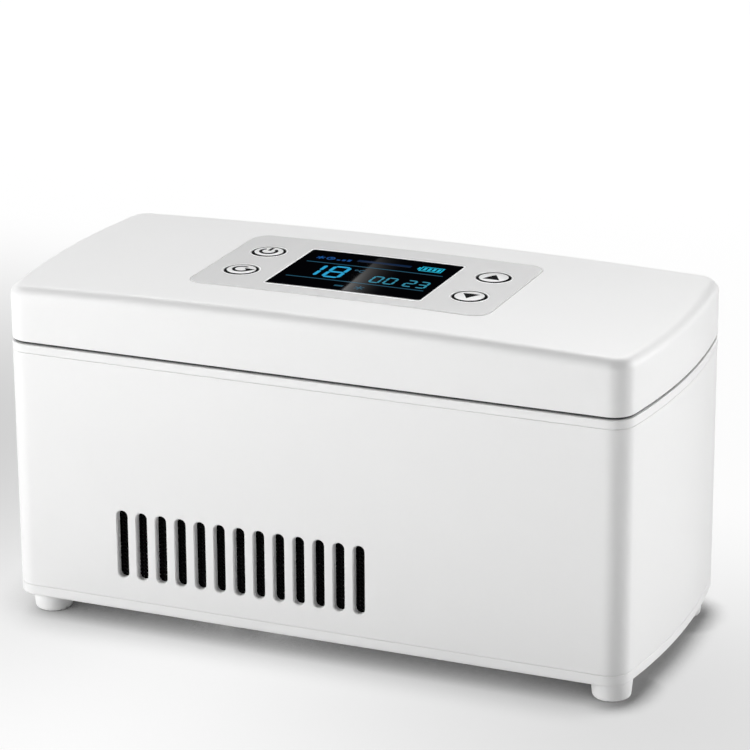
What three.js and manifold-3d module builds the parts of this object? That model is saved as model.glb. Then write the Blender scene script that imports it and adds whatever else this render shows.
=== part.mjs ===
// A portable cooling case for insulin pens and vials, in millimetres, +Z up.
// The origin is the middle of the footprint, on the surface that the feet stand on. The front, with its
// air slots, faces -Y, and the lid turns on two barrel hinges at the back.
import * as THREE from "three";
import { mergeVertices } from "three/addons/utils/BufferGeometryUtils.js";
import Module from "manifold-3d";

const wasm = await Module();
wasm.setup();

// Driving dimensions

// Case outline, seen from above
const CASE_LENGTH = 205; // over the bowed ends
const CASE_DEPTH = 90; // front face to back face
const END_BOW = 4.1; // how far each end bulges past its corners
const CORNER_RADIUS = 7;
const WALL = 2; // sleeve wall

// Heights, from the table up
const CASE_HEIGHT = 108.85; // to the middle of the lid's crown
const FOOT_HEIGHT = 7.4;
const BASE_EDGE = 3.3; // thickness of the base plate, seen as a band
const PART_LINE = 0.25; // fine joint line over the base and under the deck
const RIM_EDGE = 2.5; // thickness of the deck, seen as a band
const LID_GAP = 0.85; // dark seam under the lid
const LID_HEIGHT = 18.75; // lower edge to the middle of the crown
const LID_CROWN = 2.05; // fall of the lid's top from its middle to its ends
const LID_WALL = 2.2;
const TOP_EDGE_RADIUS = 3.5;

// Clearances
const FIT = 0.3; // sideways, between pieces that are put together
const SEAT = 0.1; // between a piece and what it rests on
const OVERRUN = 1; // how far a cutter runs past what it cuts, and a joined piece into its neighbour

// Feet and their screws
const FOOT_END_INSET = 10.5; // foot centre from the tip of the case's end
const FOOT_SIDE_INSET = 11.4; // foot centre from the front or back face
const FOOT_TOP_RADIUS = 6.4;
const FOOT_BOTTOM_RADIUS = 5.8;
const FOOT_ROUND = 1.2; // rounding of the foot's lower edge
const FOOT_RECESS_DEPTH = 4.2;
const SCREW_RADIUS = 1.5;
const SCREW_HEAD_RADIUS = 2.8;
const SCREW_HEAD_HEIGHT = 1.8;
const SCREW_HEAD_FLAT = 0.7; // flat end of a pan head, as a share of its radius
const SCREW_GRIP = 12; // screw length inside the sleeve's boss
const BOSS_RADIUS = 4;
const BOSS_WEB = 3; // thickness of the web that ties a boss to the end wall
const BOSS_DEPTH = 16;

// Air slots and the screens behind them
const SLOT_COUNT = 13;
const SLOT_PITCH = 6.5;
const SLOT_WIDTH = 3.5;
const SLOT_LENGTH = 21.8;
const SLOT_MIDDLE_X = -22.4;
const SLOT_MIDDLE_HEIGHT = 21.6; // above the underside of the base
const SCREEN_THICKNESS = 0.8;
const SCREEN_MARGIN = 2.5;
const INTAKE_SLOT_WIDTH = 3;
const INTAKE_SLOT_PITCH = 5.6;

// Deck, hinges and catch
const LIP_DEPTH = 4; // locating lip inside the sleeve
const LIP_THICKNESS = 2;
const HINGE_END_INSET = 44.5; // hinge centre from the tip of the case's end
const LID_KNUCKLE = 14;
const DECK_KNUCKLE = 8;
const KNUCKLE_GAP = 0.4;
const PIN_RADIUS = 1.2;
const PIN_CLEARANCE = 0.1;
const CATCH_LENGTH = 24;
const CATCH_WIDTH = 4;
const STRIKER_THICKNESS = 0.9;
const MAGNET_HEIGHT = 2.2;

// Cold chamber and its insulation
const CHAMBER_END_MARGIN = 14.5; // inside of the chamber from the tip of the case's end
const CHAMBER_SIDE_MARGIN = 17; // inside of the chamber from the front or back face
const CHAMBER_DROP = 27; // top of the deck to the chamber's floor
const CHAMBER_RADIUS = 9;
const CHAMBER_SHEET = 1.2;
const FLANGE_WIDTH = 4;
const FLANGE_THICKNESS = 1;
const FOAM_GAP = 0.4; // between the foam and the deck's lip

// Cooling stack under the chamber
const COLD_BLOCK_SIZE = 40;
const COLD_BLOCK_HEIGHT = 10;
const MODULE_SIZE = 39;
const MODULE_HEIGHT = 3.8;
const SINK_MARGIN = 8.5; // heat sink from the board and the battery beside it
const SINK_DEPTH = 66;
const SINK_BASE = 5;
const FIN_THICKNESS = 1.5;
const FIN_PITCH = 5.8;
const FAN_SIZE = 60;
const FAN_HEIGHT = 14;
const FAN_BORE_RADIUS = 28;
const FAN_HOLE_INSET = 5; // screw centre from the frame's edge
const FAN_STRUT = 3;
const FAN_STRUT_HEIGHT = 1.8;
const FAN_SCREW_LENGTH = 17;
const BEARING_RADIUS = 4;
const BEARING_HEIGHT = 7;
const SHAFT_RADIUS = 1.4;
const HUB_RADIUS = 11;
const BLADE_COUNT = 7;
const BLADE_THICKNESS = 1.2;
const BLADE_CHORD = 12;
const BLADE_PITCH_DEG = 40;
const BLADE_TIP_GAP = 0.8;
const PROBE_RADIUS = 2.5;
const PROBE_LENGTH = 9;
const PROBE_X = 42;

// Electrics in the bottom of the case
const CELL_COUNT = 3;
const CELL_RADIUS = 9.2;
const CELL_LENGTH = 65;
const CRADLE_WALL = 1.2;
const BOARD_WIDTH = 20;
const BOARD_LENGTH = 74;
const BOARD_THICKNESS = 1.6;
const BOARD_BACK_GAP = 3.7; // board's rear edge from the inside of the back wall
const STANDOFF_HEIGHT = 4.2;
const STANDOFF_RADIUS = 2.5;
const INLET_WIDTH = 9;
const INLET_LENGTH = 13.5;
const INLET_HEIGHT = 11;
const INLET_NOSE_RADIUS = 4.2;
const INLET_BORE_RADIUS = 3.2;
const INLET_BORE_DEPTH = 9.5;
const INLET_PIN_RADIUS = 1;
const BUZZER_RADIUS = 6;
const BUZZER_HEIGHT = 8;
const COIL_SIZE = 10;
const COIL_HEIGHT = 6;

// Lid: liner, seal and screws
const LINER_THICKNESS = 2;
const PLUG_DROP = 3.5; // how far the liner's plug reaches below the lid's lower edge
const PLUG_WALL = 1.6;
const PLUG_CLEARANCE = 2.5; // plug to the chamber's wall, all round
const SEAL_INSET = 4;
const SEAL_WIDTH = 3;
const SEAL_GROOVE = 0.9;
const SEAL_LIP_INSET = 0.6; // the seal's lip from the outer face: it closes the seam and makes it look dark
const SEAL_LIP_GAP = 0.15; // lip to the deck, and to the lid's lower edge
const LID_SCREW_INSET = 18; // lid screw from the chamber's end
const LID_SCREW_RADIUS = 1.25;
const LID_SCREW_HEAD_RADIUS = 2.4;
const LID_SCREW_HEAD = 1.2;
const LID_SCREW_LENGTH = 8;
const LID_BOSS_RADIUS = 3;

// Control panel, display and buttons
const PANEL_Y = 2; // middle of the panel, behind the middle of the lid
const PANEL_LENGTH = 96.5;
const PANEL_WIDTH = 54;
const PANEL_RADIUS = 5.5;
const PANEL_RECESS = 0.9;
const PANEL_PROUD = 0.15;
const PANEL_FIT = 0.15;
const WINDOW_LENGTH = 50;
const WINDOW_WIDTH = 37.2;
const WINDOW_FORWARD = 1.4; // middle of the window, in front of the panel's
const WINDOW_LEDGE = 2;
const LCD_MARGIN = 2; // module past the window, each side
const LCD_HEIGHT = 8.4;
const BUTTON_END_INSET = 11.15; // button centre from the panel's end
const BUTTON_SIDE_INSET = 16.9; // button centre from the panel's front or back edge
const BUTTON_RADIUS = 5.3;
const BUTTON_PROUD = 0.45;
const BUTTON_DOME = 0.25;
const BUTTON_EDGE = 0.3;
const BUTTON_FLANGE = 1.3; // flange past the cap, under the lid's top
const BUTTON_FLANGE_THICKNESS = 1;
const BUTTON_STEM_RADIUS = 2;
const BUTTON_TRAVEL = 0.6;
const SWITCH_SIZE = 6;
const SWITCH_BODY_HEIGHT = 3.6;
const SWITCH_HEIGHT = 5;
const SWITCH_PLUNGER_RADIUS = 1.7;
const DISPLAY_BOARD_MARGIN = 1.5; // board inside the panel's outline
const DISPLAY_POST_RADIUS = 2.6;
const DISPLAY_POST_INSET = 4.5;

// Levels and places that follow from them

const BASE_TOP = FOOT_HEIGHT + BASE_EDGE;
const SLEEVE_BOTTOM = BASE_TOP + PART_LINE;
const LID_TOP = CASE_HEIGHT;
const LID_BOTTOM = LID_TOP - LID_HEIGHT;
const DECK_TOP = LID_BOTTOM - LID_GAP;
const DECK_BOTTOM = DECK_TOP - RIM_EDGE;
const SLEEVE_TOP = DECK_BOTTOM - PART_LINE;
const SEAM = (DECK_TOP + LID_BOTTOM) / 2;

const HALF_LENGTH = CASE_LENGTH / 2;
const HALF_DEPTH = CASE_DEPTH / 2;
const INNER_Y = HALF_DEPTH - WALL; // inside of the front and back walls
const END_RADIUS = (END_BOW ** 2 + HALF_DEPTH ** 2) / (2 * END_BOW);
const END_CENTRE = HALF_LENGTH - END_RADIUS;

const HINGE_X = HALF_LENGTH - HINGE_END_INSET;
const HINGE_Y = HALF_DEPTH; // the pins lie in the plane of the back face, at the seam
const KNUCKLE_RADIUS = SEAM - DECK_BOTTOM;
const BODY_Y = -KNUCKLE_RADIUS / 2; // the knuckles stand proud at the back only

const FOOT_X = HALF_LENGTH - FOOT_END_INSET;
const FOOT_Y = HALF_DEPTH - FOOT_SIDE_INSET;
const CORNERS = [
  ["front_left", -1, -1],
  ["front_right", 1, -1],
  ["rear_left", -1, 1],
  ["rear_right", 1, 1],
];

const CHAMBER_HALF_LENGTH = HALF_LENGTH - CHAMBER_END_MARGIN;
const CHAMBER_HALF_DEPTH = HALF_DEPTH - CHAMBER_SIDE_MARGIN;
const CHAMBER_FLOOR = DECK_TOP - CHAMBER_DROP;
const CHAMBER_UNDERSIDE = CHAMBER_FLOOR - CHAMBER_SHEET;
const COLD_TOP = CHAMBER_UNDERSIDE - SEAT;
const COLD_BOTTOM = COLD_TOP - COLD_BLOCK_HEIGHT;
const MODULE_TOP = COLD_BOTTOM - SEAT;
const SINK_TOP = MODULE_TOP - MODULE_HEIGHT - SEAT;
const FAN_BOTTOM = BASE_TOP + SEAT;
const FAN_TOP = FAN_BOTTOM + FAN_HEIGHT;
const FAN_HOLE_SPACING = FAN_SIZE - 2 * FAN_HOLE_INSET;
const FIN_BOTTOM = FAN_TOP + SEAT;

const CELL_PITCH = 2 * CELL_RADIUS + FIT;
const CRADLE_RIGHT = FOOT_X - BOSS_RADIUS - FIT;
const CRADLE_LENGTH = CELL_LENGTH + 2 * (FIT + CRADLE_WALL);
const CRADLE_X = CRADLE_RIGHT - CRADLE_LENGTH / 2;
const CRADLE_WIDTH = CELL_PITCH * CELL_COUNT + FIT + 2 * CRADLE_WALL;
const CRADLE_BOTTOM = BASE_TOP + SEAT;
const CELL_Z = CRADLE_BOTTOM + CRADLE_WALL + CELL_RADIUS + SEAT;

const BOARD_LEFT = -(FOOT_X - BOSS_RADIUS - FIT);
const BOARD_X = BOARD_LEFT + BOARD_WIDTH / 2;
const BOARD_REAR = INNER_Y - BOARD_BACK_GAP;
const BOARD_Y = BOARD_REAR - BOARD_LENGTH / 2;
const BOARD_BOTTOM = BASE_TOP + STANDOFF_HEIGHT + SEAT;
const BOARD_TOP = BOARD_BOTTOM + BOARD_THICKNESS;
const INLET_Z = BOARD_TOP + SEAT + INLET_HEIGHT / 2;

// The heat sink and fan fill the bay between the control board and the battery.
const BAY_LEFT = BOARD_LEFT + BOARD_WIDTH;
const BAY_RIGHT = CRADLE_RIGHT - CRADLE_LENGTH;
const BAY_X = (BAY_LEFT + BAY_RIGHT) / 2;
const SINK_LENGTH = BAY_RIGHT - BAY_LEFT - 2 * SINK_MARGIN;
const FIN_COUNT = 2 * Math.floor((SINK_LENGTH - FIN_THICKNESS) / FIN_PITCH / 2) + 1;

const PLUG_HALF_LENGTH = CHAMBER_HALF_LENGTH - PLUG_CLEARANCE;
const PLUG_HALF_DEPTH = CHAMBER_HALF_DEPTH - PLUG_CLEARANCE;
const PLUG_RADIUS = CHAMBER_RADIUS - PLUG_CLEARANCE;
const PLUG_BOTTOM = LID_BOTTOM - PLUG_DROP;
const LINER_TOP = LID_BOTTOM + LINER_THICKNESS;
const LID_SCREW_X = CHAMBER_HALF_LENGTH - LID_SCREW_INSET;
const LID_SCREW_Y = (PLUG_HALF_DEPTH + HALF_DEPTH - SEAL_INSET - SEAL_WIDTH) / 2;
const CATCH_Y = -(CHAMBER_HALF_DEPTH + CHAMBER_SHEET + FLANGE_WIDTH + FIT + CATCH_WIDTH / 2);

const WINDOW_Y = PANEL_Y - WINDOW_FORWARD;
const LCD_LENGTH = WINDOW_LENGTH + 2 * LCD_MARGIN;
const LCD_WIDTH = WINDOW_WIDTH + 2 * LCD_MARGIN;
const LCD_TOP = crownZ(LCD_LENGTH / 2) - LID_WALL - FIT;
const DISPLAY_BOARD_TOP = LCD_TOP - LCD_HEIGHT - SEAT;
const DISPLAY_BOARD_BOTTOM = DISPLAY_BOARD_TOP - BOARD_THICKNESS;
const DISPLAY_BOARD_LENGTH = PANEL_LENGTH - 2 * DISPLAY_BOARD_MARGIN;
const DISPLAY_BOARD_WIDTH = PANEL_WIDTH - 2 * DISPLAY_BOARD_MARGIN;
const SWITCH_TOP = DISPLAY_BOARD_TOP + SEAT + SWITCH_HEIGHT;
const BUTTON_X = PANEL_LENGTH / 2 - BUTTON_END_INSET;
const BUTTON_Y = PANEL_WIDTH / 2 - BUTTON_SIDE_INSET; // from the middle of the panel
const BUTTON_SEAT_X = BUTTON_X + BUTTON_RADIUS + BUTTON_FLANGE; // the outermost, lowest point over a flange
const BUTTONS = [
  ["power", -1, 1],
  ["auto", -1, -1],
  ["up", 1, 1],
  ["down", 1, -1],
];

// Facets of the round forms
const END_STEPS = 4; // half of a bowed end
const CORNER_STEPS = 4;
const CROWN_STEPS = 4; // half of the lid's length
const EDGE_STEPS = 3; // the lid's rounded top edge
const ARC_STEPS = 3; // a quarter turn on slots, plates and feet
const DOME_STEPS = 3; // a button's dome, from its edge to its middle
const ROUND_SIDES = 16;
const SMALL_SIDES = 8;

// Materials

const finish = (color, roughness, metalness = 0) =>
  new THREE.MeshStandardMaterial({ color, roughness, metalness });
const whitePlastic = finish(0xf0f0ef, 0.32);
const silverPanel = finish(0xcfcfcf, 0.45, 0.3);
const blackGlass = finish(0x06080c, 0.08);
const aluminium = finish(0xc9ccd0, 0.35, 0.9);
const blackMetal = finish(0x1b1c1e, 0.5, 0.6);
const blackPlastic = finish(0x18191b, 0.6);
const steel = finish(0xa9abad, 0.3, 1);
const foam = finish(0xe8e6df, 0.95);
const greyRubber = finish(0x4a4c4e, 0.8);
const greenBoard = finish(0x1d5b39, 0.5);
const ceramic = finish(0xf3f1ea, 0.6);
const cellWrap = finish(0x2e6da8, 0.4);

// Solids: joined, cut and turned back into geometry

function solid(geometry) {
  const bare = geometry.index ? geometry.toNonIndexed() : geometry.clone();
  bare.deleteAttribute("normal");
  bare.deleteAttribute("uv");
  const merged = mergeVertices(bare, 1e-4);
  const vertProperties = merged.attributes.position.array;
  const triVerts = new Uint32Array(merged.index.array);
  return new wasm.Manifold(new wasm.Mesh({ numProp: 3, vertProperties, triVerts }));
}

function geometryOf(body) {
  const mesh = body.getMesh();
  return new THREE.BufferGeometry()
    .setAttribute("position", new THREE.BufferAttribute(mesh.vertProperties.slice(), 3))
    .setIndex(new THREE.BufferAttribute(mesh.triVerts.slice(), 1));
}

const join = (...bodies) => bodies.reduce((all, body) => all.add(body));
const cut = (body, ...tools) => tools.reduce((left, tool) => left.subtract(tool), body);

function block(x, y, low, length, width, high) {
  const height = high - low;
  return solid(new THREE.BoxGeometry(length, width, height).translate(x, y, low + height / 2));
}

function rod(radius, x, y, low, high, sides = ROUND_SIDES) {
  const height = high - low;
  const geometry = new THREE.CylinderGeometry(radius, radius, height, sides).rotateX(Math.PI / 2);
  return solid(geometry.translate(x, y, low + height / 2));
}

function rodAlongX(radius, y, z, left, right, sides = ROUND_SIDES) {
  const length = right - left;
  const geometry = new THREE.CylinderGeometry(radius, radius, length, sides).rotateZ(Math.PI / 2);
  return solid(geometry.translate(left + length / 2, y, z));
}

function rodAlongY(radius, x, z, front, back, sides = ROUND_SIDES) {
  const length = back - front;
  const geometry = new THREE.CylinderGeometry(radius, radius, length, sides);
  return solid(geometry.translate(x, front + length / 2, z));
}

// A turned piece about the Z axis. The profile runs counter-clockwise in radius and height.
function turned(profile, sides = ROUND_SIDES) {
  const points = profile.map(([radius, height]) => new THREE.Vector2(radius, height));
  return solid(new THREE.LatheGeometry(points, sides).rotateX(Math.PI / 2));
}

function arc(x, y, radius, start, end, steps) {
  return Array.from({ length: steps + 1 }, (_, i) => {
    const angle = start + ((end - start) * i) / steps;
    return new THREE.Vector2(x + radius * Math.cos(angle), y + radius * Math.sin(angle));
  });
}

function roundedRectangle(length, width, radius) {
  const x = length / 2 - radius;
  const y = width / 2 - radius;
  const quarter = Math.PI / 2;
  return new THREE.Shape([
    ...arc(x, y, radius, 0, quarter, ARC_STEPS),
    ...arc(-x, y, radius, quarter, 2 * quarter, ARC_STEPS),
    ...arc(-x, -y, radius, 2 * quarter, 3 * quarter, ARC_STEPS),
    ...arc(x, -y, radius, 3 * quarter, 4 * quarter, ARC_STEPS),
  ]);
}

// A slot with round ends, upright.
function stadium(width, length) {
  const radius = width / 2;
  const y = length / 2 - radius;
  return new THREE.Shape([
    ...arc(0, y, radius, 0, Math.PI, 2 * ARC_STEPS),
    ...arc(0, -y, radius, Math.PI, 2 * Math.PI, 2 * ARC_STEPS),
  ]);
}

function plate(shape, low, high, x = 0, y = 0) {
  const options = { depth: high - low, bevelEnabled: false };
  return solid(new THREE.ExtrudeGeometry(shape, options).translate(x, y, low));
}

// A shape drawn in X and Z, pushed through the part along Y.
function plateAlongY(shape, front, back, x = 0, z = 0) {
  const options = { depth: back - front, bevelEnabled: false };
  const geometry = new THREE.ExtrudeGeometry(shape, options).rotateX(Math.PI / 2);
  return solid(geometry.translate(x, back, z));
}

// The case's outline: flat front and back, bowed ends and round corners

// From the tip of the right end, round the rear corner, to the middle of the back.
function quarterOutline(inset, sideSteps) {
  const cornerRadius = Math.max(CORNER_RADIUS - inset, 1);
  const endRadius = END_RADIUS - inset;
  const cornerY = HALF_DEPTH - inset - cornerRadius;
  const cornerX = END_CENTRE + Math.sqrt((endRadius - cornerRadius) ** 2 - cornerY ** 2);
  const turn = Math.atan2(cornerY, cornerX - END_CENTRE);
  const end = arc(END_CENTRE, 0, endRadius, 0, turn, END_STEPS).slice(0, -1);
  const corner = arc(cornerX, cornerY, cornerRadius, turn, Math.PI / 2, CORNER_STEPS);
  const side = [];
  for (let i = 1; i < sideSteps; i++) {
    side.push(new THREE.Vector2(cornerX * (1 - i / sideSteps), HALF_DEPTH - inset));
  }
  return [...end, ...corner, ...side];
}

// The whole outline, counter-clockwise from the tip of the right end. A side that follows the lid's crown
// is divided, and then has a point in its middle too.
function outline(inset, sideSteps) {
  const right = quarterOutline(inset, sideSteps);
  const middle = sideSteps > 1 ? [new THREE.Vector2(0, HALF_DEPTH - inset)] : [];
  const left = [...right].reverse().map(({ x, y }) => new THREE.Vector2(-x, y));
  const rear = [...right, ...middle, ...left];
  const front = rear.slice(1, -1).reverse().map(({ x, y }) => new THREE.Vector2(x, -y));
  return [...rear, ...front];
}

// A closed form through outlines that are stacked from the bottom up. Each level is an inset and a height,
// which may follow x. Points that face each other across the middle share their x, so that the top and the
// bottom close in strips.
function stacked(levels, sideSteps = 1) {
  const rings = levels.map(([inset, heightAt]) =>
    outline(inset, sideSteps).map(({ x, y }) => new THREE.Vector3(x, y, heightAt(x))),
  );
  const count = rings[0].length;
  const points = [];
  const triangle = (a, b, c) => points.push(a, b, c);
  for (let k = 0; k + 1 < rings.length; k++) {
    for (let i = 0; i < count; i++) {
      const next = (i + 1) % count;
      triangle(rings[k][i], rings[k][next], rings[k + 1][next]);
      triangle(rings[k][i], rings[k + 1][next], rings[k + 1][i]);
    }
  }
  const bottom = rings[0];
  const top = rings[rings.length - 1];
  for (let i = 0; i < count / 2; i++) {
    const across = (count - i) % count;
    const acrossNext = count - i - 1;
    if (i > 0) {
      triangle(top[across], top[i], top[i + 1]);
      triangle(bottom[across], bottom[i + 1], bottom[i]);
    }
    if (acrossNext !== i + 1) {
      triangle(top[across], top[i + 1], top[acrossNext]);
      triangle(bottom[across], bottom[acrossNext], bottom[i + 1]);
    }
  }
  return solid(new THREE.BufferGeometry().setFromPoints(points));
}

const slab = (inset, low, high) => stacked([[inset, () => low], [inset, () => high]]);

// A hoop that follows the outline.
function hoop(inset, thickness, low, high) {
  return cut(slab(inset, low, high), slab(inset + thickness, low - OVERRUN, high + OVERRUN));
}

// X of the case's bowed end at a given y.
const endX = (y) => END_CENTRE + Math.sqrt(END_RADIUS ** 2 - y ** 2);

// Height of the lid's crowned top at a given x.
function crownZ(x) {
  return LID_TOP - LID_CROWN * (x / HALF_LENGTH) ** 2;
}

// The layer between two heights above the crown, as wide as the panel and everything in it.
function crownLayer(low, high) {
  const reach = PANEL_LENGTH / 2 + LID_WALL;
  const across = Array.from(
    { length: 2 * CROWN_STEPS + 1 },
    (_, i) => reach * (i / CROWN_STEPS - 1),
  );
  const shape = new THREE.Shape([
    ...across.map((x) => new THREE.Vector2(x, crownZ(x) + low)),
    ...across.reverse().map((x) => new THREE.Vector2(x, crownZ(x) + high)),
  ]);
  return plateAlongY(shape, -HALF_DEPTH, HALF_DEPTH);
}

// Hinge knuckles

// The lengths of one hinge along X: the lid's knuckle in the middle, a deck knuckle on each side.
function knuckleSpans(centre) {
  const middle = LID_KNUCKLE / 2;
  const near = middle + KNUCKLE_GAP;
  const far = near + DECK_KNUCKLE;
  return {
    lid: [[centre - middle, centre + middle]],
    deck: [[centre - far, centre - near], [centre + near, centre + far]],
    pin: [centre - far + FIT, centre + far - FIT],
  };
}

const HINGES = [-HINGE_X, HINGE_X].map(knuckleSpans);

const barrels = (side, radius, extra) =>
  HINGES.flatMap((spans) => spans[side]).map(([left, right]) =>
    rodAlongX(radius, HINGE_Y, SEAM, left - extra, right + extra),
  );

// Adds one side's knuckles to its piece, clears the other side's, and bores for the pins.
function withKnuckles(piece, own, other) {
  const knuckles = barrels(own, KNUCKLE_RADIUS, 0);
  const rooms = barrels(other, KNUCKLE_RADIUS + KNUCKLE_GAP, KNUCKLE_GAP);
  const bores = barrels(own, PIN_RADIUS + PIN_CLEARANCE, KNUCKLE_GAP);
  return cut(join(cut(piece, ...rooms), ...knuckles), ...bores);
}

// Case: sleeve, base and feet

function ventSlots(front, back) {
  const shape = stadium(SLOT_WIDTH, SLOT_LENGTH);
  const z = FOOT_HEIGHT + SLOT_MIDDLE_HEIGHT;
  return Array.from({ length: SLOT_COUNT }, (_, i) => {
    const x = SLOT_MIDDLE_X + (i - (SLOT_COUNT - 1) / 2) * SLOT_PITCH;
    return plateAlongY(shape, front, back, x, z);
  });
}

function cornerBosses() {
  const top = SLEEVE_BOTTOM + BOSS_DEPTH;
  return CORNERS.map(([, sx, sy]) => {
    const x = sx * FOOT_X;
    const y = sy * FOOT_Y;
    const wall = endX(FOOT_Y) - WALL / 2;
    const web = block((sx * (FOOT_X + wall)) / 2, y, SLEEVE_BOTTOM, wall - FOOT_X, BOSS_WEB, top);
    const boss = join(rod(BOSS_RADIUS, x, y, SLEEVE_BOTTOM, top), web);
    const core = rod(SCREW_RADIUS + SEAT, x, y, SLEEVE_BOTTOM - OVERRUN, top + OVERRUN, SMALL_SIDES);
    return cut(boss, core);
  });
}

function bodySleeve() {
  const shell = join(hoop(0, WALL, SLEEVE_BOTTOM, SLEEVE_TOP), ...cornerBosses());
  const near = INNER_Y - OVERRUN;
  const far = HALF_DEPTH + OVERRUN;
  const inlet = rodAlongY(INLET_NOSE_RADIUS + FIT, BOARD_X, INLET_Z, near, far);
  const frontSlots = ventSlots(-far, -near);
  const rearSlots = ventSlots(near, far);
  return cut(shell, ...frontSlots, ...rearSlots, inlet);
}

const BOARD_POSTS = [-1, 1].flatMap((sx) =>
  [-1, 1].map((sy) => [
    BOARD_X + sx * (BOARD_WIDTH / 2 - STANDOFF_RADIUS),
    BOARD_Y + sy * (BOARD_LENGTH / 2 - STANDOFF_RADIUS),
  ]),
);

function basePlate() {
  const ribLength = 2 * (FOOT_X - BOSS_RADIUS - FIT);
  const ribY = INNER_Y - FIT - LIP_THICKNESS / 2;
  const ribs = [-1, 1].map((s) =>
    block(0, s * ribY, BASE_TOP - OVERRUN, ribLength, LIP_THICKNESS, BASE_TOP + LIP_DEPTH),
  );
  const posts = BOARD_POSTS.map(([x, y]) =>
    rod(STANDOFF_RADIUS, x, y, BASE_TOP - OVERRUN, BASE_TOP + STANDOFF_HEIGHT, SMALL_SIDES),
  );
  const under = FOOT_HEIGHT - OVERRUN;
  const over = BASE_TOP + OVERRUN;
  const holes = CORNERS.map(([, sx, sy]) =>
    rod(SCREW_RADIUS + FIT, sx * FOOT_X, sy * FOOT_Y, under, over, SMALL_SIDES),
  );
  const reach = FAN_BORE_RADIUS - INTAKE_SLOT_WIDTH;
  const half = Math.floor(reach / INTAKE_SLOT_PITCH);
  const intake = [];
  for (let i = -half; i <= half; i++) {
    const x = i * INTAKE_SLOT_PITCH;
    const length = 2 * Math.sqrt(FAN_BORE_RADIUS ** 2 - x ** 2);
    const shape = stadium(INTAKE_SLOT_WIDTH, length);
    intake.push(plate(shape, under, over, BAY_X + x));
  }
  return cut(join(slab(0, FOOT_HEIGHT, BASE_TOP), ...ribs, ...posts), ...holes, ...intake);
}

function foot() {
  const top = FOOT_HEIGHT - SEAT;
  const hole = SCREW_RADIUS + FIT;
  const recess = SCREW_HEAD_RADIUS + FIT;
  const centre = FOOT_BOTTOM_RADIUS - FOOT_ROUND;
  const lowerEdge = arc(centre, FOOT_ROUND, FOOT_ROUND, -Math.PI / 2, 0, ARC_STEPS);
  const round = lowerEdge.map(({ x, y }) => [x, y]);
  const inside = [[hole, top], [hole, FOOT_RECESS_DEPTH], [recess, FOOT_RECESS_DEPTH], [recess, 0]];
  return turned([...round, [FOOT_TOP_RADIUS, top], ...inside, round[0]]);
}

// A pan-head screw, driven upwards, with its head's underside at the origin.
function panScrew(radius, length, headRadius, headHeight) {
  const shoulder = headRadius * SCREW_HEAD_FLAT;
  return turned(
    [[0, -headHeight], [shoulder, -headHeight], [headRadius, -headHeight / 2], [headRadius, 0],
      [radius, 0], [radius, length - radius], [0, length]],
    SMALL_SIDES,
  );
}

function dustScreen() {
  const length = SLOT_PITCH * (SLOT_COUNT - 1) + SLOT_WIDTH + 2 * SCREEN_MARGIN;
  const height = SLOT_LENGTH + 2 * SCREEN_MARGIN;
  const z = FOOT_HEIGHT + SLOT_MIDDLE_HEIGHT;
  return block(0, 0, z - height / 2, length, SCREEN_THICKNESS, z + height / 2);
}

// Deck, chamber and insulation

const chamberPlate = (growth, low, high) =>
  plate(
    roundedRectangle(
      2 * (CHAMBER_HALF_LENGTH + growth),
      2 * (CHAMBER_HALF_DEPTH + growth),
      CHAMBER_RADIUS + growth,
    ),
    low,
    high,
  );

function deckFrame() {
  const lip = hoop(WALL + FIT, LIP_THICKNESS, DECK_BOTTOM - LIP_DEPTH, DECK_BOTTOM + OVERRUN);
  const opening = chamberPlate(CHAMBER_SHEET + FIT, DECK_BOTTOM - OVERRUN, DECK_TOP + OVERRUN);
  const flangeSeat = DECK_TOP - FLANGE_THICKNESS - SEAT;
  const rebate = chamberPlate(CHAMBER_SHEET + FLANGE_WIDTH + FIT / 2, flangeSeat, DECK_TOP + OVERRUN);
  const strikerSeat = DECK_TOP - STRIKER_THICKNESS - SEAT;
  const striker = block(
    0, CATCH_Y, strikerSeat, CATCH_LENGTH + FIT, CATCH_WIDTH + FIT, DECK_TOP + OVERRUN,
  );
  const frame = cut(join(slab(0, DECK_BOTTOM, DECK_TOP), lip), opening, rebate, striker);
  return withKnuckles(frame, "deck", "lid");
}

function chamberLiner() {
  const trough = chamberPlate(CHAMBER_SHEET, CHAMBER_UNDERSIDE, DECK_TOP);
  const flange = chamberPlate(CHAMBER_SHEET + FLANGE_WIDTH, DECK_TOP - FLANGE_THICKNESS, DECK_TOP);
  return cut(join(trough, flange), chamberPlate(0, CHAMBER_FLOOR, DECK_TOP + OVERRUN));
}

function insulationBlock() {
  const bottom = SINK_TOP + SEAT;
  const outside = slab(WALL + FIT + LIP_THICKNESS + FOAM_GAP, bottom, DECK_BOTTOM - SEAT);
  const pocket = chamberPlate(CHAMBER_SHEET + FIT, CHAMBER_UNDERSIDE - SEAT, DECK_BOTTOM + OVERRUN);
  const shaft = COLD_BLOCK_SIZE + 2 * FIT;
  const under = bottom - OVERRUN;
  const over = CHAMBER_UNDERSIDE + OVERRUN;
  const window = block(BAY_X, 0, under, shaft, shaft, over);
  const probe = rod(PROBE_RADIUS + FIT, PROBE_X, 0, under, over, SMALL_SIDES);
  return cut(outside, pocket, window, probe);
}

// Cooling stack

const FAN_HOLES = [-1, 1].flatMap((sx) =>
  [-1, 1].map((sy) => [BAY_X + (sx * FAN_HOLE_SPACING) / 2, (sy * FAN_HOLE_SPACING) / 2]),
);
const FAN_HEAD_SEAT = FAN_BOTTOM + SCREW_HEAD_HEIGHT + SEAT;

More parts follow.
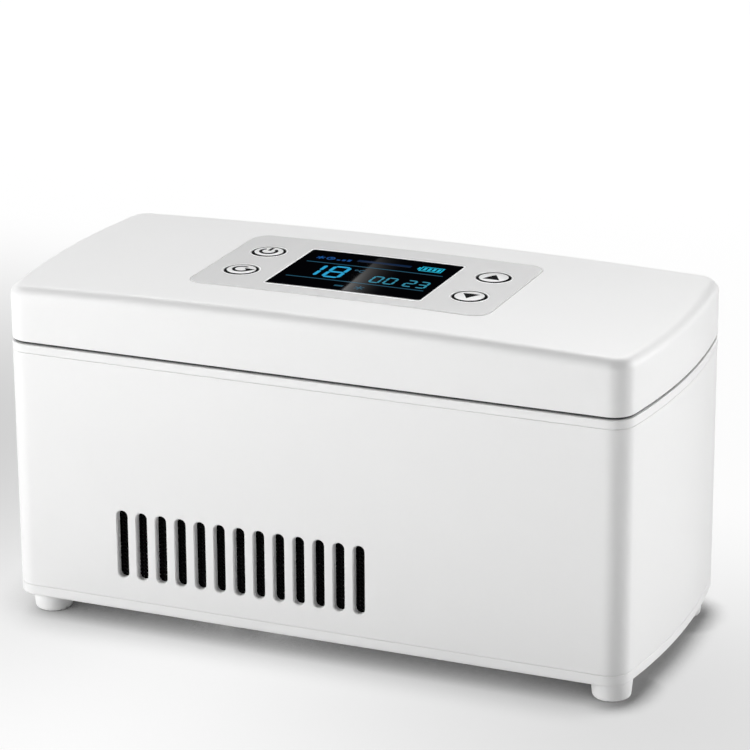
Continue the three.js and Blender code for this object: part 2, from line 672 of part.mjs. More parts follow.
function heatSink() {
  const base = block(BAY_X, 0, SINK_TOP - SINK_BASE, SINK_LENGTH, SINK_DEPTH, SINK_TOP);
  const fins = Array.from({ length: FIN_COUNT }, (_, i) => {
    const x = BAY_X + (i - (FIN_COUNT - 1) / 2) * FIN_PITCH;
    return block(x, 0, FIN_BOTTOM, FIN_THICKNESS, SINK_DEPTH, SINK_TOP - SINK_BASE / 2);
  });
  const tappedTop = FAN_HEAD_SEAT + FAN_SCREW_LENGTH + OVERRUN;
  const tapped = FAN_HOLES.map(([x, y]) =>
    rod(SCREW_RADIUS + SEAT, x, y, FIN_BOTTOM - OVERRUN, tappedTop, SMALL_SIDES),
  );
  return cut(join(base, ...fins), ...tapped);
}

function fanFrame() {
  const frame = plate(roundedRectangle(FAN_SIZE, FAN_SIZE, FAN_STRUT), FAN_BOTTOM, FAN_TOP, BAY_X);
  const bore = rod(FAN_BORE_RADIUS, BAY_X, 0, FAN_BOTTOM - OVERRUN, FAN_TOP + OVERRUN, 2 * ROUND_SIDES);
  const strutTop = FAN_BOTTOM + FAN_STRUT_HEIGHT;
  const span = 2 * FAN_BORE_RADIUS + FAN_STRUT;
  const struts = [
    block(BAY_X, 0, FAN_BOTTOM, span, FAN_STRUT, strutTop),
    block(BAY_X, 0, FAN_BOTTOM, FAN_STRUT, span, strutTop),
  ];
  const plateDisc = rod(HUB_RADIUS, BAY_X, 0, FAN_BOTTOM, strutTop);
  const bearing = rod(BEARING_RADIUS, BAY_X, 0, FAN_BOTTOM, strutTop + BEARING_HEIGHT);
  const shaftTop = strutTop + BEARING_HEIGHT + OVERRUN;
  const shaft = rod(SHAFT_RADIUS + PIN_CLEARANCE, BAY_X, 0, strutTop, shaftTop);
  const screws = FAN_HOLES.flatMap(([x, y]) => [
    rod(SCREW_RADIUS + SEAT, x, y, FAN_BOTTOM - OVERRUN, FAN_TOP + OVERRUN, SMALL_SIDES),
    rod(SCREW_HEAD_RADIUS + FIT, x, y, FAN_BOTTOM - OVERRUN, FAN_HEAD_SEAT, SMALL_SIDES),
  ]);
  return cut(join(cut(frame, bore), ...struts, plateDisc, bearing), shaft, ...screws);
}

// The rotor turns about its own Z axis. Its origin is on the top of the frame's motor plate.
function fanRotor() {
  const bottom = FIT;
  const top = FAN_HEIGHT - FAN_STRUT_HEIGHT - FIT;
  const socket = BEARING_RADIUS + FIT;
  const socketTop = BEARING_HEIGHT + FIT;
  const hub = turned([
    [0, FIT], [SHAFT_RADIUS, FIT], [SHAFT_RADIUS, socketTop], [socket, socketTop],
    [socket, bottom], [HUB_RADIUS, bottom], [HUB_RADIUS, top], [0, top],
  ]);
  const tip = FAN_BORE_RADIUS - BLADE_TIP_GAP;
  const root = HUB_RADIUS - OVERRUN;
  const blades = Array.from({ length: BLADE_COUNT }, (_, i) => {
    const blade = new THREE.BoxGeometry(tip - root, BLADE_CHORD, BLADE_THICKNESS);
    blade.rotateX(THREE.MathUtils.degToRad(BLADE_PITCH_DEG));
    blade.translate((tip + root) / 2, 0, (top + bottom) / 2);
    return solid(blade.rotateZ((2 * Math.PI * i) / BLADE_COUNT));
  });
  const swept = rod(tip, 0, 0, bottom, top, 2 * ROUND_SIDES);
  const ring = cut(swept, rod(root, 0, 0, bottom - OVERRUN, top + OVERRUN));
  return join(hub, join(...blades).intersect(ring));
}

// Electrics

function batteryCradle() {
  const top = CELL_Z;
  const tray = block(CRADLE_X, 0, CRADLE_BOTTOM, CRADLE_LENGTH, CRADLE_WIDTH, top);
  const half = CRADLE_LENGTH / 2 - CRADLE_WALL;
  const beds = CELL_YS.map((y) =>
    rodAlongX(CELL_RADIUS + SEAT, y, CELL_Z, CRADLE_X - half, CRADLE_X + half),
  );
  return cut(tray, ...beds);
}

const CELL_YS = Array.from({ length: CELL_COUNT }, (_, i) => (i - (CELL_COUNT - 1) / 2) * CELL_PITCH);

function controlBoard() {
  return block(BOARD_X, BOARD_Y, BOARD_BOTTOM, BOARD_WIDTH, BOARD_LENGTH, BOARD_TOP);
}

function powerInlet() {
  const back = INNER_Y - FIT;
  const z = INLET_Z;
  const low = BOARD_TOP + SEAT;
  const bodyY = back - INLET_LENGTH / 2;
  const body = block(BOARD_X, bodyY, low, INLET_WIDTH, INLET_LENGTH, low + INLET_HEIGHT);
  const nose = rodAlongY(INLET_NOSE_RADIUS, BOARD_X, z, back - OVERRUN, HALF_DEPTH);
  const floor = HALF_DEPTH - INLET_BORE_DEPTH;
  const bore = rodAlongY(INLET_BORE_RADIUS, BOARD_X, z, floor, HALF_DEPTH + OVERRUN);
  const pin = rodAlongY(INLET_PIN_RADIUS, BOARD_X, z, floor - OVERRUN, HALF_DEPTH - OVERRUN, SMALL_SIDES);
  return join(cut(join(body, nose), bore), pin);
}

// Lid

function lidBlock(inset, drop, bottom, edgeSteps) {
  const radius = TOP_EDGE_RADIUS - inset;
  const edge = Array.from({ length: edgeSteps + 1 }, (_, i) => {
    const angle = (i / edgeSteps) * (Math.PI / 2);
    const rise = radius * (Math.sin(angle) - 1);
    return [inset + radius * (1 - Math.cos(angle)), (x) => crownZ(x) - drop + rise];
  });
  return stacked([[inset, () => bottom], ...edge], CROWN_STEPS);
}

const LID_SCREWS = [-1, 1].flatMap((sx) => [-1, 1].map((sy) => [sx * LID_SCREW_X, sy * LID_SCREW_Y]));
const LID_BOSS_BOTTOM = LINER_TOP + SEAT;
const DISPLAY_POSTS = [-1, 1].flatMap((sx) =>
  [-1, 1].map((sy) => [
    sx * (DISPLAY_BOARD_LENGTH / 2 - DISPLAY_POST_INSET),
    PANEL_Y + sy * (DISPLAY_BOARD_WIDTH / 2 - DISPLAY_POST_INSET),
  ]),
);

const buttonHoles = (low, high) =>
  BUTTONS.map(([, sx, sy]) =>
    rod(BUTTON_RADIUS + FIT, sx * BUTTON_X, PANEL_Y + sy * BUTTON_Y, low, high),
  );

function lidShell() {
  const underTop = -LID_WALL / 2; // posts end inside the top's thickness
  const bosses = LID_SCREWS.map(([x, y]) => {
    const high = crownZ(x) + underTop;
    const coreTop = LID_BOSS_BOTTOM + LID_SCREW_LENGTH;
    const core = rod(LID_SCREW_RADIUS + SEAT, x, y, LID_BOSS_BOTTOM - OVERRUN, coreTop, SMALL_SIDES);
    return cut(rod(LID_BOSS_RADIUS, x, y, LID_BOSS_BOTTOM, high, SMALL_SIDES), core);
  });
  const posts = DISPLAY_POSTS.map(([x, y]) =>
    rod(DISPLAY_POST_RADIUS, x, y, DISPLAY_BOARD_TOP + SEAT, crownZ(x) + underTop, SMALL_SIDES),
  );
  const hollow = lidBlock(LID_WALL, LID_WALL, LID_BOTTOM - OVERRUN, 1);
  const shell = join(cut(lidBlock(0, 0, LID_BOTTOM, EDGE_STEPS), hollow), ...bosses, ...posts);
  const recessShape = roundedRectangle(
    PANEL_LENGTH + 2 * PANEL_FIT, PANEL_WIDTH + 2 * PANEL_FIT, PANEL_RADIUS + PANEL_FIT,
  );
  const recess = plate(recessShape, LID_BOTTOM, LID_TOP + OVERRUN, 0, PANEL_Y);
  const sightLength = WINDOW_LENGTH - 2 * WINDOW_LEDGE;
  const sightWidth = WINDOW_WIDTH - 2 * WINDOW_LEDGE;
  const sight = block(0, WINDOW_Y, LCD_TOP, sightLength, sightWidth, LID_TOP + OVERRUN);
  const opened = cut(
    shell,
    recess.intersect(crownLayer(-PANEL_RECESS, LID_WALL)),
    sight,
    ...buttonHoles(LCD_TOP - LID_WALL, LID_TOP + OVERRUN),
  );
  return withKnuckles(opened, "lid", "deck");
}

function lidLiner() {
  const plugShape = (growth) =>
    roundedRectangle(
      2 * (PLUG_HALF_LENGTH + growth),
      2 * (PLUG_HALF_DEPTH + growth),
      PLUG_RADIUS + growth,
    );
  const sheet = slab(LID_WALL + FIT, LID_BOTTOM, LINER_TOP);
  const plug = plate(plugShape(0), PLUG_BOTTOM, LID_BOTTOM + SEAT);
  const pocket = plate(plugShape(-PLUG_WALL), PLUG_BOTTOM + PLUG_WALL, LINER_TOP + OVERRUN);
  const under = LID_BOTTOM - OVERRUN;
  const groove = hoop(SEAL_INSET - SEAT, SEAL_WIDTH + 2 * SEAT, under, LID_BOTTOM + SEAL_GROOVE);
  const headTop = LID_BOTTOM + LID_SCREW_HEAD + SEAT;
  const holes = LID_SCREWS.flatMap(([x, y]) => [
    rod(LID_SCREW_RADIUS + FIT, x, y, under, LINER_TOP + OVERRUN, SMALL_SIDES),
    rod(LID_SCREW_HEAD_RADIUS + FIT, x, y, under, headTop, SMALL_SIDES),
  ]);
  const rooms = ["deck", "lid"].flatMap((side) =>
    barrels(side, KNUCKLE_RADIUS + KNUCKLE_GAP, KNUCKLE_GAP),
  );
  return cut(join(sheet, plug), pocket, groove, ...holes, ...rooms);
}

function lidInsulation() {
  const length = 2 * (PLUG_HALF_LENGTH - PLUG_WALL - FIT);
  const width = 2 * (PLUG_HALF_DEPTH - PLUG_WALL - FIT);
  const shape = roundedRectangle(length, width, PLUG_RADIUS - PLUG_WALL - FIT);
  return plate(shape, PLUG_BOTTOM + PLUG_WALL + SEAT, DISPLAY_BOARD_BOTTOM - FIT);
}

// The lip runs along the front and the ends, and stops at the rear corners, short of the hinges.
function lidSeal() {
  const body = hoop(SEAL_INSET, SEAL_WIDTH, DECK_TOP + SEAT, LID_BOTTOM + SEAL_GROOVE - SEAT);
  const lipWidth = SEAL_INSET + SEAL_WIDTH / 2 - SEAL_LIP_INSET;
  const lip = hoop(SEAL_LIP_INSET, lipWidth, DECK_TOP + SEAL_LIP_GAP, LID_BOTTOM - SEAL_LIP_GAP);
  const back = block(0, HALF_DEPTH, DECK_TOP, CASE_LENGTH, 2 * CORNER_RADIUS, LID_BOTTOM);
  return join(body, cut(lip, back));
}

// Control panel, display and buttons

function controlPanel() {
  const shape = roundedRectangle(PANEL_LENGTH, PANEL_WIDTH, PANEL_RADIUS);
  const panel = plate(shape, LID_BOTTOM, LID_TOP + OVERRUN, 0, PANEL_Y);
  const fit = 2 * PANEL_FIT;
  const window = block(0, WINDOW_Y, LID_BOTTOM, WINDOW_LENGTH + fit, WINDOW_WIDTH + fit, LID_TOP + OVERRUN);
  const layer = crownLayer(SEAT - PANEL_RECESS, PANEL_PROUD);
  return cut(panel.intersect(layer), window, ...buttonHoles(LID_BOTTOM, LID_TOP + OVERRUN));
}

function displayWindow() {
  const pane = block(0, WINDOW_Y, LID_BOTTOM, WINDOW_LENGTH, WINDOW_WIDTH, LID_TOP + OVERRUN);
  return pane.intersect(crownLayer(SEAT - PANEL_RECESS, PANEL_PROUD));
}

function lcdModule() {
  return block(0, WINDOW_Y, LCD_TOP - LCD_HEIGHT, LCD_LENGTH, LCD_WIDTH, LCD_TOP);
}

function displayBoard() {
  const length = DISPLAY_BOARD_LENGTH;
  return block(0, PANEL_Y, DISPLAY_BOARD_BOTTOM, length, DISPLAY_BOARD_WIDTH, DISPLAY_BOARD_TOP);
}

// A tactile switch, standing on the display board at the origin.
function switchBody() {
  const body = block(0, 0, 0, SWITCH_SIZE, SWITCH_SIZE, SWITCH_BODY_HEIGHT);
  const root = SWITCH_BODY_HEIGHT - OVERRUN;
  return join(body, rod(SWITCH_PLUNGER_RADIUS, 0, 0, root, SWITCH_HEIGHT, SMALL_SIDES));
}

// A domed cap, held under the lid's top by a flange. Its origin is the end of its stem.
const BUTTON_FOOT = SWITCH_TOP + BUTTON_TRAVEL + 2 * SEAT;

function buttonCap() {
  const flangeTop = crownZ(BUTTON_SEAT_X) - LID_WALL - FIT - BUTTON_FOOT;
  const flangeBottom = flangeTop - BUTTON_FLANGE_THICKNESS;
  const top = crownZ(BUTTON_X) + BUTTON_PROUD - BUTTON_FOOT;
  const edge = top - BUTTON_DOME;
  const flange = BUTTON_RADIUS + BUTTON_FLANGE;
  const dome = Array.from({ length: DOME_STEPS }, (_, i) => {
    const share = 1 - i / DOME_STEPS;
    return [(BUTTON_RADIUS - BUTTON_EDGE) * share, edge + BUTTON_DOME * (1 - share ** 2)];
  });
  return turned([
    [0, 0], [BUTTON_STEM_RADIUS, 0], [BUTTON_STEM_RADIUS, flangeBottom], [flange, flangeBottom],
    [flange, flangeTop], [BUTTON_RADIUS, flangeTop], [BUTTON_RADIUS, edge - BUTTON_EDGE],
    ...dome, [0, top],
  ]);
}

// Assembly

function mesh(name, body, material, x = 0, y = 0, z = 0) {
  const made = new THREE.Mesh(body.isBufferGeometry ? body : geometryOf(body), material);
  made.name = name;
  made.position.set(x, y, z);
  return made;
}

const caseGroup = new THREE.Group();
caseGroup.add(
  mesh("body_sleeve", bodySleeve(), whitePlastic),
  mesh("base_plate", basePlate(), whitePlastic),
  mesh("deck_frame", deckFrame(), whitePlastic),
  mesh("chamber_liner", chamberLiner(), aluminium),
  mesh("insulation_block", insulationBlock(), foam),
  mesh("cold_block", block(BAY_X, 0, COLD_BOTTOM, COLD_BLOCK_SIZE, COLD_BLOCK_SIZE, COLD_TOP), aluminium),
  mesh(
    "thermoelectric_module",
    block(BAY_X, 0, MODULE_TOP - MODULE_HEIGHT, MODULE_SIZE, MODULE_SIZE, MODULE_TOP),
    ceramic,
  ),
  mesh("heat_sink", heatSink(), blackMetal),
  mesh("fan_frame", fanFrame(), blackPlastic),
  mesh("fan_rotor", fanRotor(), blackPlastic, BAY_X, 0, FAN_BOTTOM + FAN_STRUT_HEIGHT),
  mesh("battery_cradle", batteryCradle(), blackPlastic),
  mesh("control_board", controlBoard(), greenBoard),
  mesh("power_inlet", powerInlet(), blackPlastic),
);

const footGeometry = geometryOf(foot());
const footHeadSeat = FOOT_RECESS_DEPTH - SEAT;
const footScrewLength = SLEEVE_BOTTOM + SCREW_GRIP - footHeadSeat;
const footScrewGeometry = geometryOf(
  panScrew(SCREW_RADIUS, footScrewLength, SCREW_HEAD_RADIUS, SCREW_HEAD_HEIGHT),
);
for (const [place, sx, sy] of CORNERS) {
  caseGroup.add(
    mesh("foot_" + place, footGeometry, whitePlastic, sx * FOOT_X, sy * FOOT_Y),
    mesh("foot_screw_" + place, footScrewGeometry, steel, sx * FOOT_X, sy * FOOT_Y, footHeadSeat),
  );
}

const fanScrewGeometry = geometryOf(
  panScrew(SCREW_RADIUS, FAN_SCREW_LENGTH, SCREW_HEAD_RADIUS, SCREW_HEAD_HEIGHT),
);
FAN_HOLES.forEach(([x, y], i) =>
  caseGroup.add(mesh("fan_screw_" + (i + 1), fanScrewGeometry, steel, x, y, FAN_HEAD_SEAT - SEAT)),
);

const screenGeometry = geometryOf(dustScreen());
const screenY = INNER_Y - SEAT - SCREEN_THICKNESS / 2;
caseGroup.add(
  mesh("front_dust_screen", screenGeometry, blackPlastic, SLOT_MIDDLE_X, -screenY),
  mesh("rear_dust_screen", screenGeometry, blackPlastic, SLOT_MIDDLE_X, screenY),
);

const cellGeometry = geometryOf(rodAlongX(CELL_RADIUS, 0, 0, -CELL_LENGTH / 2, CELL_LENGTH / 2));
CELL_YS.forEach((y, i) =>
  caseGroup.add(mesh("battery_cell_" + (i + 1), cellGeometry, cellWrap, CRADLE_X, y, CELL_Z)),
);

const buzzerY = BOARD_Y - BOARD_LENGTH / 3;
const componentZ = BOARD_TOP + SEAT;
const probeTop = CHAMBER_UNDERSIDE - SEAT;
const buzzer = rod(BUZZER_RADIUS, BOARD_X, buzzerY, componentZ, componentZ + BUZZER_HEIGHT);
const coil = block(BOARD_X, BOARD_Y, componentZ, COIL_SIZE, COIL_SIZE, componentZ + COIL_HEIGHT);
const probe = rod(PROBE_RADIUS, PROBE_X, 0, probeTop - PROBE_LENGTH, probeTop, SMALL_SIDES);
caseGroup.add(
  mesh("alarm_buzzer", buzzer, blackPlastic),
  mesh("power_coil", coil, blackMetal),
  mesh("temperature_probe", probe, steel),
  mesh(
    "striker_plate",
    block(0, CATCH_Y, DECK_TOP - STRIKER_THICKNESS, CATCH_LENGTH, CATCH_WIDTH, DECK_TOP),
    steel,
  ),
);
HINGES.forEach(({ pin: [left, right] }, i) => {
  const pin = rodAlongX(PIN_RADIUS, HINGE_Y, SEAM, left, right, SMALL_SIDES);
  caseGroup.add(mesh("hinge_pin_" + ["left", "right"][i], pin, steel));
});

const lidGroup = new THREE.Group();
lidGroup.add(
  mesh("lid_shell", lidShell(), whitePlastic),
  mesh("lid_liner", lidLiner(), whitePlastic),
  mesh("lid_insulation", lidInsulation(), foam),
  mesh("lid_seal", lidSeal(), greyRubber),
  mesh(
    "lid_magnet",
    block(0, CATCH_Y, LINER_TOP + SEAT, CATCH_LENGTH, CATCH_WIDTH, LINER_TOP + SEAT + MAGNET_HEIGHT),
    steel,
  ),
  mesh("control_panel", controlPanel(), silverPanel),
  mesh("display_window", displayWindow(), blackGlass),
  mesh("lcd_module", lcdModule(), blackPlastic),
  mesh("display_board", displayBoard(), greenBoard),
);

const lidScrewGeometry = geometryOf(
  panScrew(LID_SCREW_RADIUS, LID_SCREW_LENGTH, LID_SCREW_HEAD_RADIUS, LID_SCREW_HEAD),
);
LID_SCREWS.forEach(([x, y], i) =>
  lidGroup.add(mesh("lid_screw_" + (i + 1), lidScrewGeometry, steel, x, y, LID_BOTTOM + LID_SCREW_HEAD)),
);

const switchGeometry = geometryOf(switchBody());
const capGeometry = geometryOf(buttonCap());
for (const [label, sx, sy] of BUTTONS) {
  const x = sx * BUTTON_X;
  const y = PANEL_Y + sy * BUTTON_Y;
  lidGroup.add(
    mesh(label + "_switch", switchGeometry, blackPlastic, x, y, DISPLAY_BOARD_TOP + SEAT),
    mesh(label + "_button", capGeometry, whitePlastic, x, y, BUTTON_FOOT),
  );
}

const coolingCase = new THREE.Group();
coolingCase.add(caseGroup, lidGroup);
caseGroup.position.y = BODY_Y;
lidGroup.position.y = BODY_Y;

export default coolingCase;
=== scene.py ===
# A portable cooling case for insulin pens and vials, dressed for a photograph.
# Everything is in metres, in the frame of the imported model: +Z up, front towards -Y.
import math

import bmesh
import bpy
from mathutils import Matrix, Vector


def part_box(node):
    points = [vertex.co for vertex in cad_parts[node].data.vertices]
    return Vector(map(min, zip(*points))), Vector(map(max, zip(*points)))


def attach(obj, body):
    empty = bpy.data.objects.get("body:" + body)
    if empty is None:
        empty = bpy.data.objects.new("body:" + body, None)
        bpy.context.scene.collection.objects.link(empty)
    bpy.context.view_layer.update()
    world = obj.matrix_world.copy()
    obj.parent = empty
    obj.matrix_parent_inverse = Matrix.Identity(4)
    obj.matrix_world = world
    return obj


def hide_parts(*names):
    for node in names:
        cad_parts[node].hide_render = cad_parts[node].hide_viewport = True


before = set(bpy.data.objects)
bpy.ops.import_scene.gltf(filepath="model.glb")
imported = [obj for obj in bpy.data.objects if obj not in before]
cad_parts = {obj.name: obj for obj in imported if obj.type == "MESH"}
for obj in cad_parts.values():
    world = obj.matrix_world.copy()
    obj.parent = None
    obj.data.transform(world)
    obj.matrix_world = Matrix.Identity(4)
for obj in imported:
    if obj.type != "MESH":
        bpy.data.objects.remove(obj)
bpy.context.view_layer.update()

# Body sleeve
# The upright white wall of the case, moulded in one piece from satin plastic, with bowed ends, round
# corners and a screw boss in each corner. A row of air slots goes through its front and its back.
MM = 0.001
sleeve_low, sleeve_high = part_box("body_sleeve")
BODY_Y = (sleeve_low.y + sleeve_high.y) / 2  # the case's middle; the hinges stand proud at the back only
HALF_LENGTH = sleeve_high.x
HALF_DEPTH = sleeve_high.y - BODY_Y
END_BOW = 4.1 * MM  # how far each end bulges past its corners
END_RADIUS = (END_BOW**2 + HALF_DEPTH**2) / (2 * END_BOW)
END_CENTRE = HALF_LENGTH - END_RADIUS
CORNER_RADIUS = 7 * MM
WALL = 2 * MM
EDGE = 0.35 * MM  # rounding of a moulded rim
JOINT_EDGE = 0.2 * MM  # rounding of two rims that close on each other
HAIRLINE = 0.08 * MM  # what stays open between them
OVERRUN = 1 * MM  # how far a cutting tool runs past what it cuts
FIT = 0.3 * MM  # room round a piece that goes into another
END_STEPS = 14
CORNER_STEPS = 14
RIM_STEPS = 4  # along the rounding of a rim
FILLET_STEPS = 6  # along a wider rounding
ROUND_STEPS = 10  # a quarter turn on a round piece
CORNERS = [(-1, -1), (-1, 1), (1, -1), (1, 1)]  # left or right, and front or back
HOLD = 0.6 * MM  # a flat face keeps its shading up to this far from a rounded corner


def arc(x, y, radius, start, end, steps):
    """Points along an arc, both ends included."""
    angles = [start + (end - start) * i / steps for i in range(steps + 1)]
    return [(x + radius * math.cos(a), y + radius * math.sin(a)) for a in angles]


def mirrored(quarter):
    """A whole outline, counter-clockwise, from the quarter between its right end and mid back."""
    rear = quarter + [(-x, y) for x, y in reversed(quarter[:-1])]
    return rear + [(x, -y) for x, y in reversed(rear[1:-1])]


def flat_side(corner_x, y, steps):
    """The straight run from a rounded corner to the middle of a side."""
    start = corner_x - HOLD
    return [(start * (1 - i / steps), y) for i in range(steps + 1)]


def case_outline(inset, side_steps=1):
    """The case seen from above, drawn in by an inset."""
    corner_radius = max(CORNER_RADIUS - inset, 1 * MM)
    end_radius = END_RADIUS - inset
    corner_y = HALF_DEPTH - inset - corner_radius
    corner_x = END_CENTRE + math.sqrt((end_radius - corner_radius) ** 2 - corner_y**2)
    turn = math.atan2(corner_y, corner_x - END_CENTRE)
    end = arc(END_CENTRE, 0, end_radius, 0, turn, END_STEPS)[:-1]
    corner = arc(corner_x, corner_y, corner_radius, turn, math.pi / 2, CORNER_STEPS)
    return mirrored(end + corner + flat_side(corner_x, HALF_DEPTH - inset, side_steps))


def round_outline(radius):
    return mirrored(arc(0, 0, radius, 0, math.pi / 2, ROUND_STEPS))


def rounding(radius, steps=RIM_STEPS):
    """Inset and drop along an edge that is rounded from the side to the top."""
    angles = [math.pi / 2 * i / steps for i in range(steps + 1)]
    return [(radius * (1 - math.cos(a)), radius * (1 - math.sin(a))) for a in angles]


def ring(outline, height, x=0, y=0):
    """An outline set at a height, which is a number or follows x."""
    points = [(px + x, py + y + BODY_Y) for px, py in outline]
    return [(px, py, height(px) if callable(height) else height) for px, py in points]


def case_ring(inset, z):
    return ring(case_outline(inset), z)


def placed(name, mesh):
    piece = bpy.data.objects.new(name, mesh)
    bpy.context.scene.collection.objects.link(piece)
    return piece


def discard(piece):
    mesh = piece.data
    bpy.data.objects.remove(piece)
    bpy.data.meshes.remove(mesh)


def tidied(mesh):
    """Merges doubled points and turns every face outwards."""
    made = bmesh.new()
    made.from_mesh(mesh)
    bmesh.ops.remove_doubles(made, verts=made.verts, dist=MM / 1000)
    bmesh.ops.recalc_face_normals(made, faces=made.faces)
    made.to_mesh(mesh)
    made.free()


def lofted(name, rings, closed=False):
    """A closed form through rings of equal length. Strips across the end rings shut an open loft."""
    count = len(rings[0])
    faces = []
    for k in range(len(rings) if closed else len(rings) - 1):
        low = k * count
        high = (k + 1) % len(rings) * count
        for i in range(count):
            j = (i + 1) % count
            faces.append((low + i, low + j, high + j, high + i))
    if not closed:
        last = (len(rings) - 1) * count
        for i in range(count // 2):  # two neighbours and the two points that face them
            strip = list(dict.fromkeys([i, i + 1, count - i - 1, (count - i) % count]))
            faces.append([last + k for k in strip])
            faces.append(strip[::-1])
    mesh = bpy.data.meshes.new(name)
    mesh.from_pydata([point for points in rings for point in points], [], faces)
    tidied(mesh)
    return placed(name, mesh)


def post(radius, x, y, low, high):
    """An upright round bar."""
    outline = round_outline(radius)
    return lofted("post", [ring(outline, low, x, y), ring(outline, high, x, y)])


def block(low, high):
    """A plain bar between two corners, used as a tool."""
    mesh = bpy.data.meshes.new("block")
    made = bmesh.new()
    size = [b - a for a, b in zip(low, high)]
    middle = [(a + b) / 2 for a, b in zip(low, high)]
    bmesh.ops.create_cube(made, size=1, matrix=Matrix.LocRotScale(middle, None, size))
    made.to_mesh(mesh)
    made.free()
    return placed("block", mesh)


def joined(name, *pieces):
    """One object from several that don't touch each other."""
    made = bmesh.new()
    for piece in pieces:
        made.from_mesh(piece.data)
        discard(piece)
    mesh = bpy.data.meshes.new(name)
    made.to_mesh(mesh)
    made.free()
    return placed(name, mesh)


def made_plain(piece):
    """Turns a piece and its modifiers into a plain mesh."""
    bpy.context.view_layer.update()
    graph = bpy.context.evaluated_depsgraph_get()
    mesh = bpy.data.meshes.new_from_object(piece.evaluated_get(graph))
    old = piece.data
    piece.modifiers.clear()
    piece.data = mesh
    bpy.data.meshes.remove(old)
    mesh.name = piece.name


def worked(piece, operation, *tools):
    """Joins tools to a piece, or cuts them from it, one after the other."""
    for tool in tools:
        step = piece.modifiers.new(operation, "BOOLEAN")
        step.operation = operation
        step.solver = "EXACT"
        step.object = tool
    made_plain(piece)
    for tool in tools:
        discard(tool)


def finished(piece, finish, crease=30):
    """Shades a piece smoothly up to its creases and gives it its finish."""
    tidied(piece.data)
    piece.data.materials.clear()
    piece.data.materials.append(finish)
    piece.data.shade_smooth()
    piece.data.set_sharp_from_angle(angle=math.radians(crease))


def node_group(kind, name, inputs, outputs):
    """An empty node group with named sockets, and its input and output nodes."""
    tree = bpy.data.node_groups.new(name, kind + "NodeTree")
    for way, sockets in (("INPUT", inputs), ("OUTPUT", outputs)):
        for label, socket in sockets.items():
            tree.interface.new_socket(label, in_out=way, socket_type="NodeSocket" + socket)
    return tree, tree.nodes.new("NodeGroupInput"), tree.nodes.new("NodeGroupOutput")


def linked(tree, pairs):
    """Joins outputs to inputs in a node tree."""
    for source, target in pairs:
        tree.links.new(source, target)


def run_through(piece, tree, values):
    """Sends a piece through a node group and keeps the result as a plain mesh."""
    step = piece.modifiers.new(tree.name, "NODES")
    step.node_group = tree
    for socket in tree.interface.items_tree:
        if socket.in_out == "INPUT" and socket.name in values:
            step[socket.identifier] = values[socket.name]
    made_plain(piece)


# Colour that drifts between two tones in wide patches, with a fine grain in the gloss and the relief.
grain_group, grain_in, grain_out = node_group(
    "Shader", "surface_grain",
    {"Pale": "Color", "Deep": "Color", "Patch": "Float", "Grain": "Float", "Stretch": "Vector",
     "Glossy": "Float", "Matt": "Float"},
    {"Colour": "Color", "Roughness": "Float", "Height": "Float"},
)
grain_place = grain_group.nodes.new("ShaderNodeTexCoord")
grain_stretch = grain_group.nodes.new("ShaderNodeVectorMath")
grain_stretch.operation = "MULTIPLY"
grain_patch = grain_group.nodes.new("ShaderNodeTexNoise")
grain_patch.inputs["Detail"].default_value = 3
grain_fine = grain_group.nodes.new("ShaderNodeTexNoise")
grain_fine.inputs["Detail"].default_value = 2
grain_tone = grain_group.nodes.new("ShaderNodeMix")
grain_tone.data_type = "RGBA"
grain_gloss = grain_group.nodes.new("ShaderNodeMapRange")
linked(grain_group, [
    (grain_place.outputs["Object"], grain_stretch.inputs[0]),
    (grain_in.outputs["Stretch"], grain_stretch.inputs[1]),
    (grain_place.outputs["Object"], grain_patch.inputs["Vector"]),
    (grain_in.outputs["Patch"], grain_patch.inputs["Scale"]),
    (grain_stretch.outputs[0], grain_fine.inputs["Vector"]),
    (grain_in.outputs["Grain"], grain_fine.inputs["Scale"]),
    (grain_patch.outputs[0], grain_tone.inputs[0]),
    (grain_in.outputs["Deep"], grain_tone.inputs[6]),
    (grain_in.outputs["Pale"], grain_tone.inputs[7]),
    (grain_fine.outputs[0], grain_gloss.inputs["Value"]),
    (grain_in.outputs["Glossy"], grain_gloss.inputs["To Min"]),
    (grain_in.outputs["Matt"], grain_gloss.inputs["To Max"]),
    (grain_tone.outputs[2], grain_out.inputs["Colour"]),
    (grain_gloss.outputs[0], grain_out.inputs["Roughness"]),
    (grain_fine.outputs[0], grain_out.inputs["Height"]),
])
GRAIN_HEIGHT = 0.1 * MM  # of the relief at full strength


def grained(name, pale, deep, gloss, patch=40, grain=2500, stretch=(1, 1, 1), relief=0.02, **sockets):
    """A finish with the surface grain. Gloss is its range of roughness; sockets go to the shader."""
    finish = bpy.data.materials.new(name)
    finish.use_nodes = True
    tree = finish.node_tree
    shader = tree.nodes["Principled BSDF"]
    surface = tree.nodes.new("ShaderNodeGroup")
    surface.node_tree = grain_group
    values = {"Pale": (*pale, 1), "Deep": (*deep, 1), "Patch": patch, "Grain": grain, "Stretch": stretch,
              "Glossy": gloss[0], "Matt": gloss[1]}
    for label, value in values.items():
        surface.inputs[label].default_value = value
    bump = tree.nodes.new("ShaderNodeBump")
    bump.inputs["Strength"].default_value = relief
    bump.inputs["Distance"].default_value = GRAIN_HEIGHT
    tree.links.new(surface.outputs["Colour"], shader.inputs["Base Color"])
    tree.links.new(surface.outputs["Roughness"], shader.inputs["Roughness"])
    tree.links.new(surface.outputs["Height"], bump.inputs["Height"])
    tree.links.new(bump.outputs["Normal"], shader.inputs["Normal"])
    for label, value in sockets.items():
        shader.inputs[label.replace("_", " ")].default_value = value
    return finish


white_plastic = grained("white_plastic", (0.885, 0.885, 0.882), (0.868, 0.868, 0.866), (0.46, 0.54))

